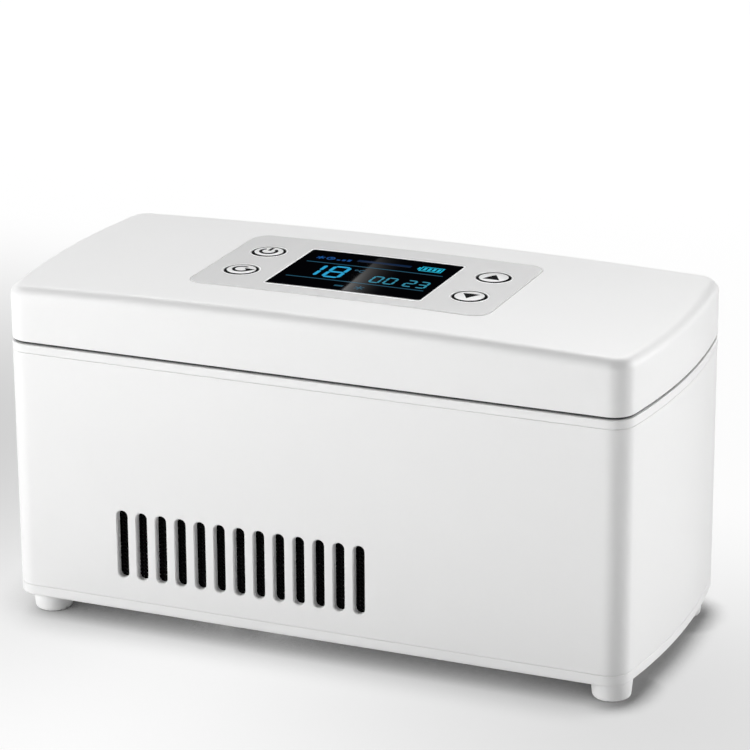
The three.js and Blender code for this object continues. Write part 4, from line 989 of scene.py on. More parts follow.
# Lid shell
# The white lid, moulded as one deep shell with a crowned top and a generous rounded edge. Its top is
# recessed for the control panel, and it turns on two knuckles at the back.
LID_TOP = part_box("lid_shell")[1].z
LID_CROWN = 2.05 * MM  # fall of the top from its middle to its ends
LID_WALL = 2.2 * MM
TOP_EDGE = 3.5 * MM
TOP_EDGE_STEPS = 12
CROWN_STEPS = 24
PANEL_Y = 2 * MM
panel_low, panel_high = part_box("control_panel")
PANEL_HALF_LENGTH = panel_high.x
PANEL_HALF_WIDTH = (panel_high.y - panel_low.y) / 2
PANEL_RADIUS = 5.5 * MM
PANEL_RECESS = 0.9 * MM
PANEL_FIT = 0.15 * MM
RECESS_FLARE = 0.1 * MM
BUTTON_HOLE = 5.6 * MM
BUTTON_X = 37.1 * MM
BUTTON_Y = 10.1 * MM  # from the middle of the panel
LID_SCREW_X = 70 * MM
LID_SCREW_Y = 31.75 * MM
LID_BOSS = 3 * MM
LID_BOSS_BORE = 1.35 * MM
LID_BORE_DEPTH = 8 * MM
LINER_SHEET = 2 * MM


def crown(x):
    """Height of the lid's top at a given x."""
    return LID_TOP - LID_CROWN * (x / HALF_LENGTH) ** 2


def lid_ring(inset, drop):
    return ring(case_outline(inset, CROWN_STEPS), lambda x: crown(x) - drop)


def panel_ring(
    growth, rise,
    half_length=PANEL_HALF_LENGTH, half_width=PANEL_HALF_WIDTH, radius=PANEL_RADIUS, middle=PANEL_Y,
):
    """A ring about the panel's middle that follows the crown at a rise above it."""
    outline = rounded_outline(half_length + growth, half_width + growth, radius + growth, CROWN_STEPS)
    return ring(outline, lambda x: crown(x) + rise, 0, middle)


inner_edge = TOP_EDGE - LID_WALL
lid_rim = reversed(rounding(EDGE))
lid = lofted(
    "lid",
    [lid_ring(LID_WALL + inset, LID_WALL + drop) for inset, drop in reversed(rounding(inner_edge))]
    + [ring(case_outline(LID_WALL, CROWN_STEPS), LID_BOTTOM)]
    + [ring(case_outline(inset, CROWN_STEPS), LID_BOTTOM + rise) for inset, rise in lid_rim]
    + [lid_ring(inset, drop) for inset, drop in rounding(TOP_EDGE, TOP_EDGE_STEPS)]
    + [lid_ring(TOP_EDGE + HOLD, 0)],
)
liner_top = LID_BOTTOM + LINER_SHEET
lid_bosses = []
lid_bores = []
for side, face in CORNERS:
    x = side * LID_SCREW_X
    y = face * LID_SCREW_Y
    lid_bosses.append(post(LID_BOSS, x, y, liner_top + SEAT, crown(x) - LID_WALL / 2))
    lid_bores.append(post(LID_BOSS_BORE, x, y, liner_top - OVERRUN, liner_top + LID_BORE_DEPTH))
worked(lid, "UNION", *lid_bosses)
worked(lid, "DIFFERENCE", *lid_bores)
lid_cuts = [lofted("recess", [
    panel_ring(PANEL_FIT, -PANEL_RECESS),
    panel_ring(PANEL_FIT, -RECESS_FLARE),
    panel_ring(PANEL_FIT + RECESS_FLARE + OVERRUN, OVERRUN),
])]
sight_low, sight_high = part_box("lcd_module")
SIGHT_MARGIN = 4 * MM
lid_cuts.append(block(
    (sight_low.x + SIGHT_MARGIN, sight_low.y + SIGHT_MARGIN, sight_high.z),
    (sight_high.x - SIGHT_MARGIN, sight_high.y - SIGHT_MARGIN, LID_TOP + OVERRUN),
))
for side, face in CORNERS:
    x = side * BUTTON_X
    y = PANEL_Y + face * BUTTON_Y
    lid_cuts.append(post(BUTTON_HOLE, x, y, sight_high.z - LID_WALL, LID_TOP + OVERRUN))
worked(lid, "DIFFERENCE", *lid_cuts)
hinged(lid, "lid", "deck")
finished(lid, white_plastic)
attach(lid, "lid")
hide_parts("lid_shell")

# Lid liner
# The lid's white inner cover: a sheet with a shallow plug that reaches into the chamber's mouth, and a
# groove for the seal. Foam fills the plug, a magnet lies at its front, and four small screws hold it up.
LINER_INSET = LID_WALL + FIT
PLUG_HALF_LENGTH = 85.5 * MM
PLUG_HALF_DEPTH = 25.5 * MM
PLUG_RADIUS = 6.5 * MM
PLUG_WALL = 1.6 * MM
PLUG_ROUND = 1.2 * MM
SEAL_INSET = 4 * MM
SEAL_WIDTH = 3 * MM
SEAL_GROOVE = 0.9 * MM
LID_SCREW_HEAD = 2.4 * MM
LID_SCREW_HEAD_HEIGHT = 1.2 * MM
LID_SCREW = 1.25 * MM
liner_plastic = grained(
    "liner_plastic", (0.86, 0.86, 0.855), (0.84, 0.84, 0.835), (0.38, 0.5), relief=0.08,
)


def plug_ring(growth, z):
    return ring(rounded_outline(
        PLUG_HALF_LENGTH + growth, PLUG_HALF_DEPTH + growth, PLUG_RADIUS + growth,
    ), z)


liner_edge = reversed(rounding(EDGE))
liner = lofted(
    "liner",
    [case_ring(LINER_INSET + inset, LID_BOTTOM + rise) for inset, rise in liner_edge]
    + [case_ring(LINER_INSET, liner_high.z)],
)
plug_edge = reversed(rounding(PLUG_ROUND, FILLET_STEPS))
worked(liner, "UNION", lofted(
    "plug",
    [plug_ring(-inset, liner_low.z + rise) for inset, rise in plug_edge]
    + [plug_ring(0, LID_BOTTOM + OVERRUN)],
))
liner_cuts = [
    lofted("pocket", [
        plug_ring(-PLUG_WALL, liner_low.z + PLUG_WALL), plug_ring(-PLUG_WALL, liner_high.z + OVERRUN),
    ]),
    lofted("groove", [
        case_ring(SEAL_INSET - SEAT, LID_BOTTOM - OVERRUN),
        case_ring(SEAL_INSET - SEAT, LID_BOTTOM + SEAL_GROOVE),
        case_ring(SEAL_INSET + SEAL_WIDTH + SEAT, LID_BOTTOM + SEAL_GROOVE),
        case_ring(SEAL_INSET + SEAL_WIDTH + SEAT, LID_BOTTOM - OVERRUN),
    ], closed=True),
]
head_top = LID_BOTTOM + LID_SCREW_HEAD_HEIGHT + SEAT
for side, face in CORNERS:
    x = side * LID_SCREW_X
    y = face * LID_SCREW_Y
    liner_cuts.append(post(LID_SCREW + FIT, x, y, LID_BOTTOM - OVERRUN, liner_high.z + OVERRUN))
    liner_cuts.append(post(LID_SCREW_HEAD + FIT, x, y, LID_BOTTOM - OVERRUN, head_top))
for spans in knuckles.values():
    for left, right in spans:
        liner_cuts.append(barrel(left - KNUCKLE_GAP, right + KNUCKLE_GAP, KNUCKLE_RADIUS + KNUCKLE_GAP))
worked(liner, "DIFFERENCE", *liner_cuts)
finished(liner, liner_plastic)
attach(liner, "lid")
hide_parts("lid_liner")
dressed(rigid_foam, "lid_insulation")
dressed(plated_steel, "lid_magnet")

lid_screw_low, lid_screw_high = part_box("lid_screw_1")
lid_seat = lid_screw_low.z + LID_SCREW_HEAD_HEIGHT
lid_screws = cross_screw(
    "lid_screws", LID_SCREW, lid_screw_high.z - lid_seat, LID_SCREW_HEAD, LID_SCREW_HEAD_HEIGHT,
)
on_four_corners(lid_screws, 2 * LID_SCREW_X, 2 * LID_SCREW_Y, (0, BODY_Y, lid_seat), plated_steel)
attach(lid_screws, "lid")
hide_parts("lid_screw_1", "lid_screw_2", "lid_screw_3", "lid_screw_4")

# Lid seal
# A dark grey rubber gasket in the liner's groove, with a rounded lower face and a thin lip that reaches
# out under the lid's edge along the front and the ends. It is extruded and joined into one loop.
seal_low, seal_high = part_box("lid_seal")
SEAL_ROUND = 0.7 * MM
SEAL_STEPS = 5
SEAL_LIP_INSET = 0.6 * MM
SEAL_LIP_GAP = 0.15 * MM
SEAL_LIP_STEPS = 3
grey_rubber = grained("grey_rubber", (0.045, 0.046, 0.048), (0.03, 0.031, 0.033), (0.6, 0.8), relief=0.15)
seal_lower = rounding(SEAL_ROUND, SEAL_STEPS)
seal_inner = SEAL_INSET + SEAL_WIDTH
seal = lofted(
    "seal",
    [case_ring(SEAL_INSET + inset, seal_low.z + rise) for inset, rise in reversed(seal_lower)]
    + [case_ring(SEAL_INSET, seal_high.z), case_ring(seal_inner, seal_high.z)]
    + [case_ring(seal_inner - inset, seal_low.z + rise) for inset, rise in seal_lower],
    closed=True,
)
lip_under = DECK_TOP + SEAL_LIP_GAP
lip_over = LID_BOTTOM - SEAL_LIP_GAP
lip_round = rounding((lip_over - lip_under) / 2, SEAL_LIP_STEPS)
lip_root = case_outline(SEAL_INSET + SEAL_WIDTH / 2)
seal_lip = lofted(
    "seal_lip",
    [case_ring(SEAL_LIP_INSET + inset, lip_under + rise) for inset, rise in reversed(lip_round)]
    + [case_ring(SEAL_LIP_INSET + inset, lip_over - drop) for inset, drop in lip_round]
    + [ring(lip_root, lip_over), ring(lip_root, lip_under)],
    closed=True,
)
worked(seal_lip, "DIFFERENCE", block(
    (-HALF_LENGTH, BODY_Y + HALF_DEPTH - CORNER_RADIUS, lip_under - OVERRUN),
    (HALF_LENGTH, BODY_Y + HALF_DEPTH + OVERRUN, lip_over + OVERRUN),
))
worked(seal, "UNION", seal_lip)
finished(seal, grey_rubber, 40)
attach(seal, "lid")
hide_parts("lid_seal")

# Control panel
# A thin plate printed satin silver, die-cut with round corners, a window for the display and four round
# holes, and bonded into the lid's recess, a hair proud of it. Its bevelled edge is white, a painted
# highlight.
PANEL_PROUD = 0.15 * MM
PANEL_BEVEL = 0.2 * MM
PANEL_UNDER = PANEL_RECESS - SEAT
window_low, window_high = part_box("display_window")
WINDOW_HALF_LENGTH = window_high.x
WINDOW_HALF_WIDTH = (window_high.y - window_low.y) / 2
WINDOW_Y = (window_high.y + window_low.y) / 2 - BODY_Y
WINDOW_RADIUS = 0.9 * MM
HOLE_FLARE = 0.12 * MM
HOLE_TOOL = 3 * PANEL_RECESS  # how far down a hole's tool goes
silver_print = grained(
    "silver_print", (0.55, 0.55, 0.55), (0.52, 0.52, 0.52), (0.42, 0.52), grain=6000, relief=0.05,
    Metallic=0.25,
)

panel = lofted(
    "panel",
    [panel_ring(-PANEL_BEVEL, -PANEL_UNDER), panel_ring(-PANEL_BEVEL, PANEL_PROUD),
     panel_ring(-PANEL_BEVEL - HOLD, PANEL_PROUD)],
)


def window_ring(growth, rise):
    """A loop round the window, which sits a little in front of the panel's middle."""
    return panel_ring(growth, rise, WINDOW_HALF_LENGTH, WINDOW_HALF_WIDTH, WINDOW_RADIUS, WINDOW_Y)


panel_cuts = [lofted("window", [
    window_ring(PANEL_FIT, -PANEL_RECESS - OVERRUN),
    window_ring(PANEL_FIT, OVERRUN),
])]
straight = round_outline(BUTTON_HOLE)
flared = round_outline(BUTTON_HOLE + HOLE_FLARE + OVERRUN)
for side, face in CORNERS:
    x = side * BUTTON_X
    y = PANEL_Y + face * BUTTON_Y
    top = crown(x) + PANEL_PROUD
    panel_cuts.append(lofted("hole", [
        ring(straight, top - HOLE_TOOL, x, y),
        ring(straight, top - HOLE_FLARE, x, y),
        ring(flared, top + OVERRUN, x, y),
    ]))
worked(panel, "DIFFERENCE", *panel_cuts)
finished(panel, silver_print)
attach(panel, "lid")
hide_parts("control_panel")

# A white that paints the highlights on the edges of the panel, the window and the button holes.
bead_white = grained("bead_white", (0.96, 0.96, 0.96), (0.95, 0.95, 0.95), (0.3, 0.4))
# The panel's bevelled edge in that white: a painted highlight round the panel.
panel_foot = PANEL_FIT - HAIRLINE
panel_bevel = lofted("panel_bevel", [
    panel_ring(-PANEL_BEVEL, PANEL_PROUD),
    panel_ring(-PANEL_BEVEL, -PANEL_UNDER),
    panel_ring(panel_foot, -PANEL_UNDER),
    panel_ring(panel_foot, -HAIRLINE),
], closed=True)
finished(panel_bevel, bead_white)
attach(panel_bevel, "lid")

# Display window
# A black tinted pane, hard-coated and glued flush into the panel, with a fine white bead round it that is
# a painted highlight on the window's edge. The display module and the switch board hang under it inside
# the lid.
BEAD_WIDTH = 0.75 * MM
BEAD_SHOULDERS = (0.8, 0.2)  # where the bead's top begins and ends, of its width
BEAD_RISE = 0.025 * MM
BEAD_SINK = 0.025 * MM  # how far the bead's foot goes into the panel
PANE_EDGE = 0.08 * MM
PANE_EDGE_STEPS = 2
window_black = grained(
    "window_black", (0.002, 0.002, 0.003), (0.001, 0.001, 0.002), (0.012, 0.025), relief=0,
)

pane = lofted(
    "pane",
    [window_ring(0, -PANEL_UNDER)]
    + [window_ring(-inset, PANEL_PROUD - drop) for inset, drop in rounding(PANE_EDGE, PANE_EDGE_STEPS)]
    + [window_ring(-PANE_EDGE - HOLD, PANEL_PROUD)],
)
finished(pane, window_black)
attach(pane, "lid")
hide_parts("display_window")

# A white strip round the pane: a painted highlight on the window's edge.
window_highlight = lofted("window_bead", [
    window_ring(0, PANEL_PROUD - HOLE_FLARE),
    window_ring(BEAD_WIDTH, PANEL_PROUD - BEAD_SINK),
] + [window_ring(BEAD_WIDTH * share, PANEL_PROUD + BEAD_RISE) for share in BEAD_SHOULDERS], closed=True)
finished(window_highlight, bead_white, 60)
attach(window_highlight, "lid")

lcd_black = grained("lcd_black", (0.02, 0.021, 0.024), (0.012, 0.013, 0.015), (0.3, 0.45))
dressed(lcd_black, "lcd_module")
dressed(board_green, "display_board")
dressed(black_plastic, "power_switch", "auto_switch", "up_switch", "down_switch")

# Lit figures
# What the display shows, as plain shapes just on the pane: a temperature and a time in seven-segment
# figures, two rules, a battery gauge and small symbols, in cyan with dimmer blue ones and a faint bar at
# the top.
SHEET_LENGTH = 50  # the shapes are drawn on a sheet of this size and stretched to the pane
SHEET_WIDTH = 35.4
SHEET_SHIFT = 0.6 * MM  # to the right
FIGURE_RISE = 0.025 * MM
FIGURE_SINK = 0.02 * MM
SEGMENTS = {"0": "abcdef", "1": "bc", "2": "abged", "3": "abgcd", "8": "abcdefg"}
SEGMENT_GAP = 0.12  # of a figure's stroke
DOT_SCALE = 2600
DOT_JITTER = 0.15
DOT_REACH = 0.8  # where a dot's light has fallen off
DARK_GLASS = (0.004, 0.006, 0.009, 1)
pane_left = SHEET_SHIFT - WINDOW_HALF_LENGTH
pane_front = WINDOW_Y - WINDOW_HALF_WIDTH
sheet_across = 2 * WINDOW_HALF_LENGTH / SHEET_LENGTH
sheet_up = 2 * WINDOW_HALF_WIDTH / SHEET_WIDTH


def bar(ends, width, tip):
    """A bar between two points on the sheet, measured from its front left corner, with pointed tips."""
    start, end = [Vector(point) for point in ends]
    along = (end - start).normalized()
    half = along.orthogonal() * width / 2
    first = start + along * tip
    last = end - along * tip
    return [start, first - half, last - half, end, last + half, first + half]


def figure(digit, x, y, width, height, stroke):
    """The lit segments of one figure whose lower left corner is at x, y."""
    gap = stroke * SEGMENT_GAP
    left = x + stroke / 2
    right = x + width - stroke / 2
    low = y + stroke / 2
    high = y + height - stroke / 2
    middle = (low + high) / 2
    ends = {
        "a": ((left + gap, high), (right - gap, high)),
        "b": ((right, middle + gap), (right, high - gap)),
        "c": ((right, low + gap), (right, middle - gap)),
        "d": ((left + gap, low), (right - gap, low)),
        "e": ((left, low + gap), (left, middle - gap)),
        "f": ((left, middle + gap), (left, high - gap)),
        "g": ((left + gap, middle), (right - gap, middle)),
    }
    return [bar(ends[segment], stroke, stroke / 2) for segment in SEGMENTS[digit]]


def figures(places, y, height, stroke):
    """A row of figures. Each place is a digit, its left edge and its width."""
    return [shape for digit, x, width in places for shape in figure(digit, x, y, width, height, stroke)]


def box_shape(x, y, width, height):
    return [(x, y), (x + width, y), (x + width, y + height), (x, y + height)]


def frame_shapes(x, y, width, height, line):
    """The four sides of a hollow box."""
    return [
        box_shape(x, y, line, height),
        box_shape(x, y, width, line),
        box_shape(x, y + height - line, width, line),
        box_shape(x + width - line, y, line, height),
    ]


def rule(left, right, y, width, pieces=12):
    """A long thin line, in short lengths so that it follows the crown."""
    step = (right - left) / pieces
    return [box_shape(left + i * step, y, step, width) for i in range(pieces)]


def hoop_shapes(x, y, radius, width, steps, start=0, end=360):
    """A ring, or part of one between two angles, as short pieces."""
    angles = (math.radians(start), math.radians(end))
    outer = arc(x, y, radius, *angles, steps)
    inner = arc(x, y, radius - width, *angles, steps)
    return [[inner[i], outer[i], outer[i + 1], inner[i + 1]] for i in range(steps)]


def frost(x, y, radius, width):
    """A plain six-armed frost sign."""
    shapes = []
    for k in range(3):
        a = math.pi * k / 3 + math.pi / 2
        reach = (radius * math.cos(a), radius * math.sin(a))
        shapes.append(bar(((x - reach[0], y - reach[1]), (x + reach[0], y + reach[1])), width, width / 2))
    return shapes


def on_surface(name, shapes, height_at, place, rise, sink, cuts=1):
    """Thin raised shapes on a curved top. Place turns a point into x and y, and cuts let a shape bend."""
    mesh = bpy.data.meshes.new(name)
    made = bmesh.new()
    for shape in shapes:
        made.faces.new([made.verts.new((*place(*point), 0)) for point in shape])
    bmesh.ops.triangulate(made, faces=made.faces)
    bmesh.ops.subdivide_edges(made, edges=made.edges, cuts=cuts, use_grid_fill=True)
    for point in made.verts:
        point.co.z = height_at(point.co.x, point.co.y) - sink
    grown = bmesh.ops.extrude_face_region(made, geom=made.faces[:])["geom"]
    for point in grown:
        if isinstance(point, bmesh.types.BMVert):
            point.co.z += sink + rise
    bmesh.ops.recalc_face_normals(made, faces=made.faces)
    made.to_mesh(mesh)
    made.free()
    return placed(name, mesh)


def lit(name, colour, dim):
    """Light from a display's fine dot grid: a colour that falls a little between the dots."""
    finish = bpy.data.materials.new(name)
    finish.use_nodes = True
    tree = finish.node_tree
    shader = tree.nodes["Principled BSDF"]
    place = tree.nodes.new("ShaderNodeTexCoord")
    dots = tree.nodes.new("ShaderNodeTexVoronoi")
    dots.inputs["Scale"].default_value = DOT_SCALE
    dots.inputs["Randomness"].default_value = DOT_JITTER
    ramp = tree.nodes.new("ShaderNodeValToRGB")
    ramp.color_ramp.elements[0].color = (*colour, 1)
    ramp.color_ramp.elements[1].color = (*[c * dim for c in colour], 1)
    ramp.color_ramp.elements[1].position = DOT_REACH
    linked(tree, [
        (place.outputs["Object"], dots.inputs["Vector"]),
        (dots.outputs["Distance"], ramp.inputs["Fac"]),
        (ramp.outputs["Color"], shader.inputs["Emission Color"]),
    ])
    shader.inputs["Base Color"].default_value = DARK_GLASS
    shader.inputs["Roughness"].default_value = 0.05
    shader.inputs["Emission Strength"].default_value = 1
    return finish


def pane_place(u, v):
    return pane_left + u * sheet_across, BODY_Y + pane_front + v * sheet_up


def pane_top(x, y):
    return crown(x) + PANEL_PROUD


bright_shapes = figures([("1", 5.6, 5.2), ("8", 12.6, 6.0)], y=10.8, height=11.2, stroke=1.15)
small_shapes = figures(
    [("0", 28.1, 3.5), ("0", 32.6, 3.5), ("2", 38.9, 3.4), ("3", 43.0, 3.4)],
    y=10.7, height=6.2, stroke=0.68,
)
gauge_shapes = (
    [box_shape(38.9 + 1.5 * i, 27.3, 0.9, 2.4) for i in range(4)]
    + frame_shapes(37.9, 26.4, 7.2, 4.2, line=0.4)
    + [box_shape(37.1, 27.5, 0.6, 2.0)]
)
soft_shapes = (
    rule(2.4, 47.0, 23.5, 0.5)
    # Fine black nylon nets, die-cut and heat-staked behind the front and back air slots. They keep fluff
    # out of the fan, and their black is partly painted shade that makes the slots look dark.
    + rule(2.4, 47.0, 8.5, 0.5)
    + hoop_shapes(20.6, 20.0, 0.62, 0.3, 12)
    + hoop_shapes(22.6, 19.6, 1.1, 0.4, 12, 50, 310)
    + frost(28.2, 4.5, 1.7, 0.42)
    + [box_shape(20.2, 3.9, 2.8, 1.1)]
)
dim_shapes = (
    frost(5.0, 28.3, 1.5, 0.5)
    + hoop_shapes(8.3, 28.4, 1.4, 0.45, 14)
    + [box_shape(8.1, 28.2, 0.4, 1.0), box_shape(8.1, 28.2, 0.9, 0.4)]
    + [box_shape(10.6 + 1.7 * i, 27.2, 1.1, 0.8 + 0.5 * i) for i in range(3)]
)
faint_shapes = rule(17.0, 34.6, 28.2, 1.6, 6)
for label, shapes, colour, dim in (
    ("lit_figures", bright_shapes, (0.03, 0.42, 0.74), 0.7),
    ("gauge", gauge_shapes, (0.02, 0.52, 0.74), 0.75),
    ("small_figures", small_shapes, (0.04, 0.30, 0.43), 0.7),
    ("soft_figures", soft_shapes, (0.012, 0.085, 0.14), 0.75),
    ("dim_figures", dim_shapes, (0.010, 0.085, 0.30), 0.6),
    ("faint_figures", faint_shapes, (0.003, 0.018, 0.06), 0.6),
):
    shown = on_surface(label, shapes, pane_top, pane_place, FIGURE_RISE, FIGURE_SINK)
    shown.data.materials.append(lit(label, colour, dim))
    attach(shown, "lid")

# Buttons
# Four domed white caps that stand a little proud of the panel and press straight down on their switches.
# Each has a black rim over its edge, partly print and partly painted shade of the gap round the cap, and
# a plain black sign, and a white bead, a painted highlight, lines its hole.
CAP_RADIUS = 5.3 * MM
CAP_DOME = 0.25 * MM
DOME_STEPS = (0.85, 0.68, 0.5, 0.32, 0.16)  # of the dome's radius
CAP_EDGE = 0.3 * MM
CAP_EDGE_MIDDLE = 0.09 * MM  # how far the rounded edge has drawn in halfway
CAP_FLANGE = 1.3 * MM
CAP_FLANGE_THICKNESS = 1 * MM
CAP_STEM = 2 * MM
PRINT_RISE = 0.015 * MM
RIM_INNER = 4.5 * MM  # the black rim runs from here over the cap's edge
RIM_BEND = 0.97  # of the dome's radius, where the rim begins to turn down
RIM_DEPTH = 0.9 * MM
HOLE_BEAD = 0.45 * MM
HOLE_BEAD_LAP = 0.16 * MM  # how far the bead reaches in over the hole
HOLE_BEAD_SHOULDER = 0.75  # of HOLE_BEAD, where the bead's top ends
HOLE_BEAD_SLOPE = 0.1 * MM  # across the bead's inner slope
button_white = grained(
    "button_white", (0.97, 0.97, 0.968), (0.955, 0.955, 0.953), (0.28, 0.36), relief=0.03,
)
print_black = grained(
    "print_black", (0.006, 0.006, 0.007), (0.004, 0.004, 0.004), (0.7, 0.85), grain=5000,
    Specular_IOR_Level=0.03,
)

triangle = [(-2.7, -2.5), (2.7, -2.5), (0, 2.1)]
signs = {
    "power": hoop_shapes(0, -0.2, 3.0, 1.0, 26, 128, 412) + [box_shape(-0.5, 0.2, 1.0, 3.4)],
    "auto": hoop_shapes(0, 0, 2.9, 0.95, 26, 60, 350) + [[(0.7, 0.9), (4.1, 0.9), (2.4, -1.7)]],
    "up": [triangle],
    "down": [[(x, -0.6 - y) for x, y in triangle]],
}
for label, side, face in (("power", -1, 1), ("auto", -1, -1), ("up", 1, 1), ("down", 1, -1)):
    cap_x = side * BUTTON_X
    cap_y = PANEL_Y + face * BUTTON_Y
    cap_low, cap_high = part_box(label + "_button")
    cap_top_z = cap_high.z - 2 * PRINT_RISE
    edge_z = cap_top_z - CAP_DOME
    flange_top = crown(BUTTON_X + CAP_RADIUS + CAP_FLANGE) - LID_WALL - FIT
    cap_flat = CAP_RADIUS - CAP_EDGE
    cap_edge = [
        (CAP_RADIUS, edge_z - CAP_EDGE),
        (CAP_RADIUS - CAP_EDGE_MIDDLE, edge_z - CAP_EDGE_MIDDLE),
    ]

    def dome(share):
        return edge_z + CAP_DOME * (1 - share**2)

    cap = turned(label + "_cap", [
        (0, cap_low.z),
        (CAP_STEM, cap_low.z),
        (CAP_STEM, flange_top - CAP_FLANGE_THICKNESS),
        (CAP_RADIUS + CAP_FLANGE, flange_top - CAP_FLANGE_THICKNESS),
        (CAP_RADIUS + CAP_FLANGE, flange_top),
        (CAP_RADIUS, flange_top),
        *cap_edge,
        (cap_flat, edge_z),
        *[(cap_flat * share, dome(share)) for share in DOME_STEPS],
        (0, cap_top_z),
    ])
    cap.data.transform(Matrix.Translation((cap_x, cap_y + BODY_Y, 0)))
    finished(cap, button_white)
    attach(cap, label + "_key")
    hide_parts(label + "_button")

    def cap_top(x, y):
        return dome(min(1, math.hypot(x - cap_x, y - cap_y - BODY_Y) / cap_flat))

    def cap_place(u, v):
        return cap_x + u * MM, cap_y + BODY_Y + v * MM

    # The rim's black runs down the cap's side into the gap round it: print on the rim, painted shade in
    # the gap.
    rim_edge = [
        *[(cap_flat * share, dome(share)) for share in (RIM_INNER / cap_flat, RIM_BEND, 1)],
        *reversed(cap_edge),
        (CAP_RADIUS, edge_z - RIM_DEPTH),
    ]
    rim = turned(
        label + "_rim",
        [(radius + PRINT_RISE / 2, height + PRINT_RISE) for radius, height in rim_edge]
        + [(radius - PRINT_RISE / 2, height - PRINT_RISE) for radius, height in reversed(rim_edge)],
    )
    rim.data.transform(Matrix.Translation((cap_x, cap_y + BODY_Y, 0)))
    sign = joined(label + "_sign", rim, on_surface(
        "sign_print", signs[label], cap_top, cap_place, PRINT_RISE, PRINT_RISE, cuts=4,
    ))
    finished(sign, print_black, 50)
    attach(sign, label + "_key")

    # A white ring round the hole: a painted highlight on the hole's edge.
    hole_edge_highlight = lofted(label + "_hole_bead", [
        ring(round_outline(BUTTON_HOLE + growth), lambda x: crown(x) + PANEL_PROUD + rise, cap_x, cap_y)
        for growth, rise in (
            (-HOLE_BEAD_LAP, -HOLE_FLARE),
            (HOLE_BEAD, -BEAD_SINK),
            (HOLE_BEAD * HOLE_BEAD_SHOULDER, BEAD_RISE),
            (HOLE_BEAD_SLOPE - HOLE_BEAD_LAP, BEAD_RISE),
        )
    ], closed=True)
    finished(hole_edge_highlight, bead_white, 60)
    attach(hole_edge_highlight, "lid")

# Floor
# A wide sweep of plain white paper with two soft grey pools of painted shadow. To the eye and in
# reflections most of its white is its own, dimmed close under the case by a painted contact shadow, and
# the rest is the light and the shadows on it.
FLOOR_HALF = 6
OWN_WHITE = 0.92
# Painted contact shadow: reach, shares of open air over a spot that leave none and all of its white,
# power, least white.
SHADES = [
    (24 * MM, 0.06, 0.85, 0.65, 0.02),  # along the front
    (12 * MM, 0.44, 0.85, 1, 0.18),  # round the right end
]
SHADE_TURN = (86 * MM, 100 * MM)  # where the first passes into the second
SHADE_SAMPLES = 16
# Pools of painted shadow: each darkens the paper's colour and its white towards a centre.
PAINTED_SHADOW_POOLS = [  # place, radius, and what is left of the white in the middle
    ((-0.30, 0.045, 0), 0.32, 0.46),
    ((0.12, -0.045, 0), 0.185, 0.74),
]
floor_mesh = bpy.data.meshes.new("floor")
floor_mesh.from_pydata(
    [(-FLOOR_HALF, -FLOOR_HALF, 0), (FLOOR_HALF, -FLOOR_HALF, 0), (FLOOR_HALF, FLOOR_HALF, 0),
     (-FLOOR_HALF, FLOOR_HALF, 0)],
    [], [(0, 1, 2, 3)],
)
floor = placed("floor", floor_mesh)
paper = grained("paper", (0.93, 0.93, 0.93), (0.92, 0.92, 0.92), (0.85, 0.95), patch=3, grain=300)
paper_nodes = paper.node_tree.nodes
paper_links = paper.node_tree.links
paper_shader = paper_nodes["Principled BSDF"]


def calculated(operation, first, second):
    """A maths step in the paper's material. An input is a socket or a number."""
    step = paper_nodes.new("ShaderNodeMath")
    step.operation = operation
    for socket, value in zip(step.inputs, (first, second)):
        if isinstance(value, bpy.types.NodeSocket):
            paper_links.new(value, socket)
        else:
            socket.default_value = value
    return step.outputs[0]


paper_place = paper_nodes.new("ShaderNodeTexCoord")
painted_pool_shade = 1
# Each pool is painted shadow, a soft grey darkening of the paper round its centre.
for centre, radius, left in PAINTED_SHADOW_POOLS:
    pool_place = paper_nodes.new("ShaderNodeMapping")
    pool_place.vector_type = "TEXTURE"
    pool_place.inputs["Location"].default_value = centre
    pool_place.inputs["Scale"].default_value = (radius, radius, radius)
    pool_ball = paper_nodes.new("ShaderNodeTexGradient")
    pool_ball.gradient_type = "SPHERICAL"
    pool_fade = paper_nodes.new("ShaderNodeMapRange")
    pool_fade.interpolation_type = "SMOOTHSTEP"
    pool_fade.inputs["To Min"].default_value = 1
    pool_fade.inputs["To Max"].default_value = left
    paper_links.new(paper_place.outputs["Object"], pool_place.inputs["Vector"])
    paper_links.new(pool_place.outputs["Vector"], pool_ball.inputs["Vector"])
    paper_links.new(pool_ball.outputs["Fac"], pool_fade.inputs["Value"])
    painted_pool_shade = calculated("MULTIPLY", pool_fade.outputs[0], painted_pool_shade)
paper_colour_with_painted_pools = paper_nodes.new("ShaderNodeMix")
paper_colour_with_painted_pools.data_type = "RGBA"
paper_colour_with_painted_pools.blend_type = "MULTIPLY"
paper_colour_with_painted_pools.inputs[0].default_value = 1
paper_links.new(paper_shader.inputs["Base Color"].links[0].from_socket, paper_colour_with_painted_pools.inputs[6])
paper_links.new(painted_pool_shade, paper_colour_with_painted_pools.inputs[7])
paper_links.new(paper_colour_with_painted_pools.outputs[2], paper_shader.inputs["Base Color"])
paper_axes = paper_nodes.new("ShaderNodeSeparateXYZ")
paper_links.new(paper_place.outputs["Object"], paper_axes.inputs[0])
paper_turn = paper_nodes.new("ShaderNodeMapRange")
paper_turn.interpolation_type = "SMOOTHSTEP"
paper_turn.inputs["From Min"].default_value = SHADE_TURN[0]
paper_turn.inputs["From Max"].default_value = SHADE_TURN[1]
paper_links.new(paper_axes.outputs["X"], paper_turn.inputs["Value"])
painted_contact_shade = paper_nodes.new("ShaderNodeMix")
paper_links.new(paper_turn.outputs[0], painted_contact_shade.inputs[0])
